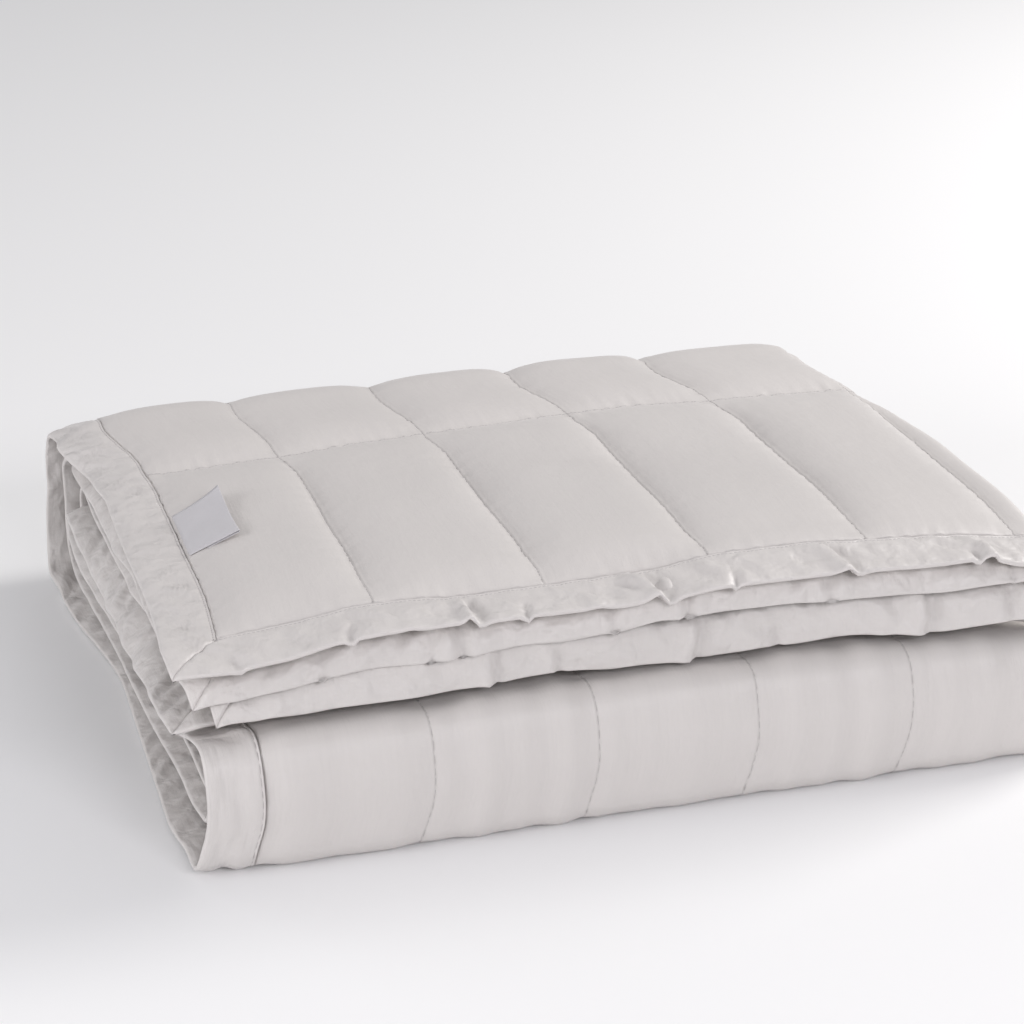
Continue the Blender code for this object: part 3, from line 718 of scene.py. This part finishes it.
def crumpled(u, v):
    """How crumpled the binding is: most of all where its side edges are bent round the back."""
    at_back = window(v, *BACK_CRUMPLE_WINDOW)
    inside = ramp(v, *INSIDE_CRUMPLE_STARTS)
    at_side = np.minimum(u, WIDTH - u) < BINDING
    return np.where(at_side, SIDE_CRUMPLE + BACK_CRUMPLE * at_back + INSIDE_CRUMPLE * inside, END_CRUMPLE)


def binding_faces(u, v, across, up):
    """Heights of the binding's two faces over the cloth's middle, a distance across from its outer edge."""
    from_seam = BINDING - across
    ride = stitch_ride(u, v) * ramp(across, BINDING / 2, BINDING)
    near_edge = 1 - ramp(across, BINDING / 2, BINDING)
    crumple = CRUMPLE_HEIGHT * ripples(u, v, CRUMPLE_WAVES, CRUMPLE_SEED) * near_edge * crumpled(u, v)
    shift = ride + crumple + PINCH_STRENGTH * pinched(u, v) * up + gathered(u, v, across, from_seam)
    thick = binding_thickness(across, from_seam)
    return shift + thick, shift - thick


def raised(u, v, height):
    """Points at a height over the cloth's middle, none of them below the surface that it lies on."""
    points = middle(u, v) + facing(u, v) * height[..., None]
    points[..., 2] = np.maximum(points[..., 2], 0.0)
    return points + TO_FRAME


def label_root(v):
    """Where the label leaves the seam of the top layer."""
    seam = np.full_like(v, BINDING)
    height = SEAM / 2 + stitch_ride(seam, v) + GAP
    return middle(seam, v) + facing(seam, v) * height[:, None]


def shift_to_frame():
    """From the drawing's origin to the frame's, found from the lowest corner of the label's node."""
    root = label_root(np.linspace(LABEL_START + LABEL_LENGTH, LABEL_START, 5))
    low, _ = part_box("label_tab")
    return np.array([low[0] - root[:, 0].min(), low[1] - root[:, 1].min(), 0.0])


TO_FRAME = shift_to_frame()


# ---- meshes ----
def closed_sheet(name, outer, inner, u, v, material):
    """One closed body between two matching grids of points, with the flat position as its map."""
    rows, columns = outer.shape[:2]
    count = rows * columns
    index = np.arange(count).reshape(rows, columns)
    corners = (index[:-1, :-1], index[:-1, 1:], index[1:, 1:], index[1:, :-1])
    top = np.stack(corners, -1).reshape(-1, 4)
    base = top[:, ::-1] + count
    rim = np.concatenate([index[0, :-1], index[:-1, -1], index[-1, :0:-1], index[:0:-1, 0]])
    after = np.roll(rim, -1)
    side = np.stack([after, rim, rim + count, after + count], -1)
    points = np.concatenate([outer.reshape(-1, 3), inner.reshape(-1, 3)])
    flat = np.stack([u.ravel(), v.ravel()], -1)
    faces = np.concatenate([top, base, side])
    return mesh_piece(name, points, faces, np.concatenate([flat, flat]), material)


def mesh_piece(name, points, faces, flat, material):
    """An object from arrays of points and faces, shaded smooth."""
    mesh = bpy.data.meshes.new(name)
    mesh.from_pydata(points.tolist(), [], faces.tolist())
    mesh.shade_smooth()
    corners = np.empty(len(mesh.loops), dtype=np.int32)
    mesh.loops.foreach_get("vertex_index", corners)
    layer = mesh.uv_layers.new(name="flat")
    layer.uv.foreach_set("vector", flat[corners].astype(np.float32).ravel())
    mesh.materials.append(material)
    mesh.validate()
    piece = bpy.data.objects.new(name, mesh)
    bpy.context.collection.objects.link(piece)
    return piece


def split(start, end, step):
    """Evenly spaced positions from start to just before end, at most a step apart."""
    count = max(1, round((end - start) / step))
    return [start + (end - start) * k / count for k in range(count)]


# Where the panel's points lie: steps in each cell of the half that shows and of the half folded under it, the
# step round the side fold and how far it runs on, and stretches along the blanket with the step of each.
HALF_COLUMNS = COLUMNS // 2
SHOWN_STEPS = 32
HIDDEN_STEPS = 9
FOLD_STEP = 0.0030
FOLD_STEPS_RUN_ON = 0.006
FOLD_CLEARANCE = 0.008
SEAM_CLEARANCE = 0.0018
INNER_FOLD_START = FRONT_END + (INNER_START - FRONT_END) / INNER_STRETCH
INNER_FOLD_END = FRONT_END + (INNER_END - FRONT_END) / INNER_STRETCH
PANEL_STEPS = (
    (BINDING, TOP_RUN, 0.0042),
    (TOP_RUN, BOTTOM_START, 0.0062),
    (BOTTOM_START, FRONT_START - 0.012, 0.020),
    (FRONT_START - 0.012, FRONT_END + 0.035, 0.0026),
    (FRONT_END + 0.035, INNER_FOLD_START, 0.022),
    (INNER_FOLD_START, INNER_FOLD_END, 0.0075),
    (INNER_FOLD_END, LENGTH - BINDING - 0.06, 0.020),
    (LENGTH - BINDING - 0.06, LENGTH - BINDING, 0.006),
)


def panel_width_stations():
    """Close together in the half that shows, wider in the half that is folded under it."""
    first = [BINDING + CELL_WIDTH * k / SHOWN_STEPS for k in range(HALF_COLUMNS * SHOWN_STEPS + 1)]
    turn = split(first[-1] + FOLD_STEP, SIDE_FOLD_END + FOLD_STEPS_RUN_ON, FOLD_STEP)
    last_line = WIDTH - BINDING
    second = [last_line - CELL_WIDTH * k / HIDDEN_STEPS for k in range(HALF_COLUMNS * HIDDEN_STEPS)]
    second = sorted(place for place in second if place > SIDE_FOLD_END + FOLD_CLEARANCE)
    return np.array(first + turn + second)


def panel_length_stations():
    """Stretches of even steps, with a row of points on every line of stitching."""
    places = []
    for start, end, step in PANEL_STEPS:
        places += split(start, end, step)
    places.append(LENGTH - BINDING)
    lines = [BINDING + CELL_LENGTH * row for row in range(1, ROWS)]
    places = [place for place in places if min(abs(place - line) for line in lines) > SEAM_CLEARANCE]
    return np.array(sorted(places + lines))


def quilted_panel(material):
    """The filled panel. Its edges reach a little way into the binding that holds them."""
    u, v = np.meshgrid(panel_width_stations(), panel_length_stations())
    outer_height, inner_height = panel_faces(u, v)
    sewn_u, sewn_v = sewn_place(u, v)
    outer = raised(sewn_u, sewn_v, outer_height)
    inner = raised(sewn_u, sewn_v, inner_height)
    return closed_sheet("quilted_panel_cloth", outer, inner, u, v, material)


STRIP_STEP = 0.0034
STRIP_STEP_ACROSS = 0.0032
NOSE_STEPS = 5
BESIDE_SEAM = (0.0045, 0.0034, 0.0028, 0.0024, 0.0020, 0.0016, 0.0012, 0.0006, 0.0002)
MITRE_GAP = 0.0001
MITRE_DEPTH = 0.0010
MITRE_WIDTH = 0.0014


def binding_stations(length):
    """Positions along a strip, and across it from the outer edge to the seam."""
    along = np.array(split(0, length, STRIP_STEP) + [length])
    turn = [NOSE * (1 - math.cos(QUARTER * k / NOSE_STEPS)) for k in range(NOSE_STEPS)]
    across = turn + split(NOSE, BINDING - BESIDE_SEAM[0], STRIP_STEP_ACROSS)
    across += [BINDING - part for part in BESIDE_SEAM]
    return along, np.array(across)


def binding_strip(name, length, flip, sideways, material):
    """A strip from the outer edge to the panel, mitred at both ends."""
    stations, across = binding_stations(length)
    edge = np.tile(across, (len(stations), 1))
    share = np.tile(stations[:, None] / length, (1, len(across)))
    along = edge + MITRE_GAP + (length - 2 * edge - 2 * MITRE_GAP) * share
    width = LENGTH if sideways else WIDTH
    placed = width - edge if flip else edge
    u, v = (along, placed) if sideways else (placed, along)
    if flip != sideways:
        u, v, edge, along = u[::-1], v[::-1], edge[::-1], along[::-1]
    up = np.sign(facing(u, v)[..., 2])
    outer_height, inner_height = binding_faces(u, v, edge, up)
    from_mitre = np.minimum(along - edge, length - edge - along) / math.sqrt(2)
    closing = MITRE_DEPTH * np.exp(-(from_mitre / MITRE_WIDTH) ** 2)
    outer = raised(u, v, outer_height - closing)
    inner = raised(u, v, inner_height + closing)
    return closed_sheet(name, outer, inner, u, v, material)


# ---- label ----
LEAF = 0.00045
LABEL_OPENING = 0.0011
LABEL_OUT = 0.0018
LABEL_ACROSS = 16
LABEL_ALONG = 28
LABEL_TURN = 8
CORNER_CURL = 0.0050
CORNER_DRAWN_IN = 0.0012
CORNER_DRAWN_BACK = 0.0020
MIDDLE_SAG = 0.0016
SWAY_HEIGHT = 0.0006
SWAY_TURNS = 1.3
SWAY_START = 0.2


def label_section(reach):
    """Side view of the folded tape: distance from the seam and height, out along the lower leaf and back."""
    radius = LABEL_OPENING / 2 + LEAF
    out = np.linspace(0, reach - radius, LABEL_ACROSS)
    turn = np.linspace(0, math.pi, LABEL_TURN + 1)[1:-1]
    far = reach - radius
    level = np.full(len(out), radius)

    def loop(r):
        x = np.concatenate([out, far + r * np.sin(turn), out[::-1]])
        z = np.concatenate([level - r, radius - r * np.cos(turn), level + r])
        return x, z

    return loop(radius), loop(radius - LEAF)


def label_tab(material):
    """The folded tape. Its free fold curls up, more so at its far corner."""
    v = np.linspace(LABEL_START + LABEL_LENGTH, LABEL_START, LABEL_ALONG)
    root = label_root(v)
    share = np.linspace(0, 1, LABEL_ALONG)[:, None]
    grids = []
    flats = []
    for x, z in label_section(LABEL_REACH):
        reach = x[None, :] / LABEL_REACH
        curl = CORNER_CURL * (1 - share) ** 2 * reach ** 3
        sag = MIDDLE_SAG * np.sin(math.pi * share) * reach ** 2
        sway = np.sin(2 * math.pi * (share * SWAY_TURNS + SWAY_START)) * np.sin(math.pi * reach)
        grid = np.empty((LABEL_ALONG, len(x), 3))
        grid[..., 0] = root[:, None, 0] + LABEL_OUT + x - CORNER_DRAWN_IN * reach ** 2 * (1 - share)
        grid[..., 1] = root[:, None, 1] + CORNER_DRAWN_BACK * (1 - share) * reach ** 2
        grid[..., 2] = root[:, None, 2] + z + LABEL_RISE * x + curl - sag + SWAY_HEIGHT * sway
        grids.append(grid + TO_FRAME)
        wound = np.cumsum(np.hypot(np.diff(x, prepend=x[0]), np.diff(z, prepend=z[0])))
        flats.append(wound)
    u = np.tile(flats[0], (LABEL_ALONG, 1))
    across = np.tile(v[:, None], (1, u.shape[1]))
    return closed_sheet("label_tape_tab", grids[0], grids[1], u, across, material)


# ---- stitching ----
STITCH = 0.0031
STITCH_SHARE = 0.80
FIRST_STITCH = 0.1
THREAD = 0.00026
THREAD_SUNK = 0.3
THREAD_ARCH = 0.5
SIDES = 6

# A stitch's rings from end to end: the place of each along it, and its share of the thread's radius.
RINGS = ((0.0, 0.25), (0.22, 1.0), (0.78, 1.0), (1.0, 0.25))

# Two four-sided faces close each end.
CAPS = ((5, 4, 3, 2), (5, 2, 1, 0), (18, 19, 20, 21), (18, 21, 22, 23))
Seam = namedtuple("Seam", "u_start v_start u_end v_end")
SIDE_WRAP = (SIDE_FOLD_START - 0.02, SIDE_FOLD_END + 0.006)


def quilting_seams():
    """The quilting lines that show: columns on the top, back and front fold, and rows round the side fold."""
    seams = []
    for column in range(1, 6):
        line = BINDING + column * CELL_WIDTH
        seams.append(Seam(line, BINDING, line, BOTTOM_START - 0.01))
        seams.append(Seam(line, FRONT_START - 0.005, line, FRONT_END + 0.03))
    for row in range(1, ROWS):
        line = BINDING + row * CELL_LENGTH
        start = BINDING if row == 1 else SIDE_WRAP[0]
        seams.append(Seam(start, line, SIDE_WRAP[1], line))
    return seams


def binding_seams():
    """The topstitching along the inner edge of the binding, on the faces that show."""
    inset = BINDING - TOPSTITCH
    return [
        Seam(inset, inset, inset, BOTTOM_START),
        Seam(inset, FRONT_START - 0.01, inset, FRONT_END + 0.03),
        Seam(inset, inset, SIDE_FOLD_END, inset),
        Seam(SIDE_FOLD_END - 0.03, LENGTH - inset, WIDTH - inset, LENGTH - inset),
    ]


def stitch_ends(seams):
    """Flat positions of both ends of every stitch."""
    starts = []
    ends = []
    for seam in seams:
        length = math.hypot(seam.u_end - seam.u_start, seam.v_end - seam.v_start)
        count = int(length / STITCH)
        place = (np.arange(count) + FIRST_STITCH) / count
        for shift, kept in ((0, starts), (STITCH_SHARE / count, ends)):
            share = place + shift
            u = seam.u_start + (seam.u_end - seam.u_start) * share
            v = seam.v_start + (seam.v_end - seam.v_start) * share
            kept.append(np.stack([u, v], -1))
    return np.concatenate(starts), np.concatenate(ends)


def stitch_faces(count):
    """Faces of a number of stitches, each a closed tube of rings."""
    base = np.arange(count)[:, None, None] * SIDES * len(RINGS)
    level = np.arange(len(RINGS) - 1)[:, None] * SIDES
    around = np.arange(SIDES)
    following = (around + 1) % SIDES
    above = level + SIDES
    tube = np.stack([level + around, level + following, above + following, above + around], -1)
    parts = (tube.reshape(1, -1, 4), np.array([CAPS]))
    return np.concatenate([(part + base).reshape(-1, 4) for part in parts])


def stitches(name, seams, place_on, heights, material):
    """A row of short raised threads along each seam, as one mesh."""
    start, end = stitch_ends(seams)
    mid = (start + end) / 2
    normal = facing(*place_on(*mid.T))
    first = raised(*place_on(*start.T), heights(*start.T) - THREAD_SUNK * THREAD)
    last = raised(*place_on(*end.T), heights(*end.T) - THREAD_SUNK * THREAD)
    forward = last - first
    forward /= np.linalg.norm(forward, axis=-1, keepdims=True)
    side = np.cross(normal, forward)
    rings = []
    for share, size in RINGS:
        arch = THREAD * THREAD_ARCH * math.sin(math.pi * share)
        centre = first + (last - first) * share + normal * arch
        for angle in np.arange(SIDES) * 2 * math.pi / SIDES:
            offset = side * math.cos(angle) + normal * math.sin(angle)
            rings.append(centre + offset * THREAD * size)
    points = np.stack(rings, 1).reshape(-1, 3)
    flat = np.repeat(mid, SIDES * len(RINGS), axis=0)
    return mesh_piece(name, points, stitch_faces(len(mid)), flat, material)


def panel_height(u, v):
    """Height of the panel's outer face."""
    return panel_faces(u, v)[0]


def straight_place(u, v):
    """A seam that runs as it is drawn."""
    return u, v


def binding_height(u, v):
    """Height of the binding's outer face."""
    across = np.minimum(np.minimum(u, WIDTH - u), np.minimum(v, LENGTH - v))
    return binding_faces(u, v, across, np.sign(facing(u, v)[..., 2]))[0]


# ---- materials ----
COTTON = (0.66, 0.63, 0.612)
BINDING_COTTON = (0.66, 0.63, 0.613)
THREAD_GREY = (0.53, 0.505, 0.50)
LABEL_GREY = (0.60, 0.585, 0.605)
FLOOR_PAINT = (0.92, 0.92, 0.925)
SHEEN_TINT = (0.95, 0.93, 0.95, 1)
SEAM_GROOVE = 0.0013
SEAM_GROOVE_DEPTH = 0.0004
# How dark the cloth is painted along the quilting lines: painted shade in their grooves.
PAINTED_SEAM_SHADE = 0.94

# How many times each grain of the cloth repeats in a metre, across and along it.
FLOATS = (2600, 420, 1)
SLUBS = (520, 22, 1)
CROSS_SLUBS = (16, 700, 1)
SOFT_CREASES = (60, 34, 1)
CRUSHED_CREASES = (60, 60, 1)
TAPE_RIBS = (5200, 260, 1)
TAPE_WEAVE = (300, 3000, 1)
CLOTH_CLOUDS = 9.0
TAPE_CLOUDS = 60.0
THREAD_FUZZ = 900.0
FLOOR_CLOUDS = 1.3


def shade(colour, share):
    """A colour as sockets take it, made darker below 1 and lighter above."""
    return (*(min(1.0, part * share) for part in colour), 1)


class Nodes:
    """Short calls for building a material's nodes."""

    def __init__(self, name):
        self.material = bpy.data.materials.new(name)
        self.material.use_nodes = True
        self.tree = self.material.node_tree
        self.shader = self.tree.nodes["Principled BSDF"]

    def node(self, kind, **settings):
        made = self.tree.nodes.new(kind)
        for key, value in settings.items():
            setattr(made, key, value)
        return made

    def join(self, source, target):
        self.tree.links.new(source, target)

    def feed(self, socket, value):
        if hasattr(value, "is_output"):
            self.join(value, socket)
        else:
            socket.default_value = value

    def maths(self, operation, *values):
        made = self.node("ShaderNodeMath", operation=operation)
        for socket, value in zip(made.inputs, values):
            self.feed(socket, value)
        return made.outputs[0]

    def flat(self):
        return self.node("ShaderNodeUVMap", uv_map="flat").outputs[0]

    def set(self, **values):
        """Values that are the same all over the surface, by socket name with _ for a space."""
        for name, value in values.items():
            self.shader.inputs[name.replace("_", " ")].default_value = value

    def drive(self, **sources):
        """Sockets fed by a node, by socket name with _ for a space."""
        for name, source in sources.items():
            self.join(source, self.shader.inputs[name.replace("_", " ")])

    def grain(self, vector, scale, detail=2.0, roughness=0.5, distortion=0.0):
        """Noise drawn out along the cloth, by its repeats in a metre both ways."""
        made = self.node("ShaderNodeMapping")
        self.feed(made.inputs["Vector"], vector)
        made.inputs["Scale"].default_value = scale
        return self.noise(made.outputs[0], 1.0, detail, roughness, distortion)

    def noise(self, vector, scale, detail=2.0, roughness=0.5, distortion=0.0):
        made = self.node("ShaderNodeTexNoise")
        self.feed(made.inputs["Vector"], vector)
        made.inputs["Scale"].default_value = scale
        made.inputs["Detail"].default_value = detail
        made.inputs["Roughness"].default_value = roughness
        made.inputs["Distortion"].default_value = distortion
        return made.outputs["Fac"]

    def sum(self, first, first_share, second, second_share):
        return self.maths(
            "ADD", self.maths("MULTIPLY", first, first_share), self.maths("MULTIPLY", second, second_share)
        )

    def blended(self, share, low, high):
        made = self.node("ShaderNodeMix", data_type="RGBA")
        self.feed(made.inputs[0], share)
        self.feed(made.inputs[6], low)
        self.feed(made.inputs[7], high)
        return made.outputs[2]

    def bump(self, height, strength, distance, normal=None):
        made = self.node("ShaderNodeBump")
        made.inputs["Strength"].default_value = strength
        made.inputs["Distance"].default_value = distance
        self.feed(made.inputs["Height"], height)
        if normal is not None:
            self.join(normal, made.inputs["Normal"])
        return made.outputs[0]


def beside_stitching(nodes, flat):
    """0 on a quilting line and 1 a little way beside it, from the flat place."""
    parts = nodes.node("ShaderNodeSeparateXYZ")
    nodes.join(flat, parts.inputs[0])
    shares = []
    for place, size in ((parts.outputs[0], CELL_WIDTH), (parts.outputs[1], CELL_LENGTH)):
        count = nodes.maths("DIVIDE", nodes.maths("SUBTRACT", place, BINDING), size)
        from_line = nodes.maths("PINGPONG", count, 0.5)
        shares.append(nodes.maths("MULTIPLY", from_line, size / SEAM_GROOVE))
    return nodes.maths("MINIMUM", nodes.maths("MINIMUM", *shares), 1.0)


def sateen(name, colour, roughness, sheen, crush, quilted=False):
    """Cotton sateen: fine floats along the cloth, slubs, faint colour changes, creases and a sheen; when
    quilted, also grooves and painted shade along its quilting lines.
    """
    nodes = Nodes(name)
    flat = nodes.flat()
    floats = nodes.grain(flat, FLOATS)
    slubs = nodes.grain(flat, SLUBS, detail=3.0, roughness=0.55)
    cross_slubs = nodes.grain(flat, CROSS_SLUBS)
    clouds = nodes.noise(flat, CLOTH_CLOUDS, detail=3.0, roughness=0.6)
    soft_creases = nodes.grain(flat, SOFT_CREASES, detail=4.0, roughness=0.62)
    crushed_creases = nodes.grain(flat, CRUSHED_CREASES, distortion=0.3)

    cloth = nodes.blended(nodes.sum(slubs, 0.55, clouds, 0.45), shade(colour, 0.955), shade(colour, 1.04))
    fine = nodes.bump(floats, strength=0.35, distance=0.0002)
    threads = nodes.bump(nodes.maths("ADD", slubs, cross_slubs), strength=0.30, distance=0.0004, normal=fine)
    soft = nodes.bump(soft_creases, strength=0.30, distance=0.0022, normal=threads)
    surface = nodes.bump(crushed_creases, strength=0.6, distance=crush, normal=soft)
    if quilted:
        beside = beside_stitching(nodes, flat)
        surface = nodes.bump(beside, strength=1.0, distance=SEAM_GROOVE_DEPTH, normal=surface)
        # Painted shade: the cloth's colour is darkened along the quilting lines, where the grooves lie in
        # shade.
        cloth = nodes.blended(beside, shade(colour, PAINTED_SEAM_SHADE), cloth)
    rough = nodes.maths("ADD", nodes.maths("MULTIPLY", slubs, 0.16), roughness - 0.08)
    nodes.drive(Base_Color=cloth, Roughness=rough, Normal=surface)
    nodes.set(Sheen_Weight=sheen, Sheen_Roughness=0.35, Sheen_Tint=SHEEN_TINT)
    nodes.set(Specular_IOR_Level=0.45, Anisotropic=0.4)
    return nodes.material


def tape(name, colour):
    """Woven tape: fine ribs across it and a dull satin face."""
    nodes = Nodes(name)
    flat = nodes.flat()
    ribs = nodes.grain(flat, TAPE_RIBS, detail=1.0)
    weave = nodes.grain(flat, TAPE_WEAVE)
    clouds = nodes.noise(flat, TAPE_CLOUDS)
    face = nodes.blended(nodes.sum(weave, 0.6, clouds, 0.4), shade(colour, 0.88), shade(colour, 1.10))
    rough = nodes.maths("ADD", nodes.maths("MULTIPLY", weave, 0.2), 0.38)
    woven = nodes.bump(weave, strength=0.3, distance=0.0002)
    surface = nodes.bump(ribs, strength=0.5, distance=0.0002, normal=woven)
    nodes.drive(Base_Color=face, Roughness=rough, Normal=surface)
    nodes.set(Sheen_Weight=0.15)
    return nodes.material


def thread(name, colour):
    """Spun sewing thread, uneven in its tone."""
    nodes = Nodes(name)
    fuzz = nodes.noise(nodes.flat(), THREAD_FUZZ)
    nodes.drive(Base_Color=nodes.blended(fuzz, shade(colour, 0.85), shade(colour, 1.0)))
    nodes.set(Roughness=0.6)
    return nodes.material


def matte(name, colour):
    """Flat paint with faint clouds."""
    nodes = Nodes(name)
    clouds = nodes.noise(nodes.node("ShaderNodeTexCoord").outputs["Object"], FLOOR_CLOUDS)
    nodes.drive(Base_Color=nodes.blended(clouds, shade(colour, 0.985), shade(colour, 1.0)))
    nodes.set(Roughness=0.85, Specular_IOR_Level=0.2)
    return nodes.material


# ---- pieces ----
def dress():
    """Every piece of the blanket, riding on its one body and standing for its node."""
    cotton = sateen("sateen", COTTON, roughness=0.50, sheen=0.12, crush=0.0008, quilted=True)
    binding_cotton = sateen("binding sateen", BINDING_COTTON, roughness=0.44, sheen=0.14, crush=0.0060)
    sewing_thread = thread("quilting thread", THREAD_GREY)
    label_tape = tape("label tape", LABEL_GREY)

    panel = quilted_panel(cotton)
    finish(panel, "cotton_sateen", "quilted_panel")
    side_flat = (LENGTH, BINDING)
    end_flat = (WIDTH, BINDING)
    strips = (
        ("binding_side_upper", LENGTH, False, False, side_flat),
        ("binding_side_lower", LENGTH, True, False, side_flat),
        ("binding_end_top", WIDTH, False, True, end_flat),
        ("binding_end_inner", WIDTH, True, True, end_flat),
    )
    for node, length, flip, sideways, flat in strips:
        strip = binding_strip(node + "_cloth", length, flip, sideways, binding_cotton)
        finish(strip, "cotton_binding", node)
    label = label_tab(label_tape)
    finish(label, "label_tape", "label_tab")
    quilting = stitches("quilting_stitches", quilting_seams(), sewn_place, panel_height, sewing_thread)
    finish(quilting, "cotton_sateen")
    seams = binding_seams()
    topstitching = stitches("binding_stitches", seams, straight_place, binding_height, sewing_thread)
    finish(topstitching, "cotton_binding")


def finish(piece, slot, *nodes):
    """Rides a piece on the root body and hides the nodes that it stands for. The slot is not used."""
    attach(piece, "root")
    if nodes:
        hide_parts(*nodes)


# ---- stage, lights and camera ----
CAMERA_AT = (-0.2093, -1.5121, 0.9854)
CAMERA_PITCH = math.radians(25.46)
CAMERA_YAW = math.radians(-16.2)
CAMERA_ROLL = math.radians(0.41)
SENSOR = 36.0
FRAME_WIDTH = 1024
FOCAL_PIXELS = 2700
FLOOR_HALF = 14.0
WORLD_COLOUR = (0.985, 0.98, 1.0, 1)
WORLD_STRENGTH = 0.405
BUNDLE_MIDDLE = (0.0, 0.0, 0.1)
AreaLight = namedtuple("AreaLight", "name place target size power colour")
LIGHTS = (
    AreaLight("window", (2.6, 0.6, 1.6), BUNDLE_MIDDLE, (1.1, 1.1), 58, (1.0, 0.985, 0.965)),
    AreaLight("front", (0.7, -2.6, 1.75), BUNDLE_MIDDLE, (1.3, 0.9), 30, (0.985, 0.965, 1.0)),
    AreaLight("far side", (-2.4, 3.2, 2.4), (-1.2, 2.4, 0.0), (1.6, 1.6), 12, (0.99, 0.98, 1.0)),
    AreaLight("fill", (-2.1, -0.7, 0.9), BUNDLE_MIDDLE, (1.6, 1.0), 20, (0.99, 0.98, 1.0)),
)


def floor(material):
    """A wide plain floor."""
    mesh = bpy.data.meshes.new("floor")
    corners = [(x * FLOOR_HALF, y * FLOOR_HALF, 0) for x, y in ((-1, -1), (1, -1), (1, 1), (-1, 1))]
    mesh.from_pydata(corners, [], [(0, 1, 2, 3)])
    mesh.materials.append(material)
    made = bpy.data.objects.new("floor", mesh)
    bpy.context.collection.objects.link(made)


def area_light(lamp):
    """One soft rectangular light, turned to its target."""
    light = bpy.data.lights.new(lamp.name, "AREA")
    light.shape = "RECTANGLE"
    light.size, light.size_y = lamp.size
    light.energy = lamp.power
    light.color = lamp.colour
    made = bpy.data.objects.new(lamp.name, light)
    made.location = lamp.place
    towards = Vector(lamp.target) - Vector(lamp.place)
    made.rotation_euler = towards.to_track_quat("-Z", "Y").to_euler()
    bpy.context.collection.objects.link(made)


def lights():
    """A bright window on the right, a soft front light, weak ones at the far side and left, an even sky."""
    world = bpy.data.worlds.new("studio")
    world.use_nodes = True
    background = world.node_tree.nodes["Background"]
    background.inputs["Color"].default_value = WORLD_COLOUR
    background.inputs["Strength"].default_value = WORLD_STRENGTH
    bpy.context.scene.world = world
    for lamp in LIGHTS:
        area_light(lamp)


def camera():
    """The photograph's view: its place is in the drawing's own frame."""
    data = bpy.data.cameras.new("view")
    data.sensor_width = SENSOR
    data.lens = FOCAL_PIXELS / FRAME_WIDTH * SENSOR
    view = bpy.data.objects.new("view", data)
    place = Matrix.Translation(Vector(CAMERA_AT) + Vector(TO_FRAME))
    turn = Matrix.Rotation(CAMERA_YAW, 4, "Z") @ Matrix.Rotation(QUARTER - CAMERA_PITCH, 4, "X")
    view.matrix_world = place @ turn @ Matrix.Rotation(CAMERA_ROLL, 4, "Z")
    bpy.context.collection.objects.link(view)
    bpy.context.scene.camera = view
    bpy.context.scene.view_settings.view_transform = "Standard"


dress()
floor(matte("floor paint", FLOOR_PAINT))
lights()
camera()
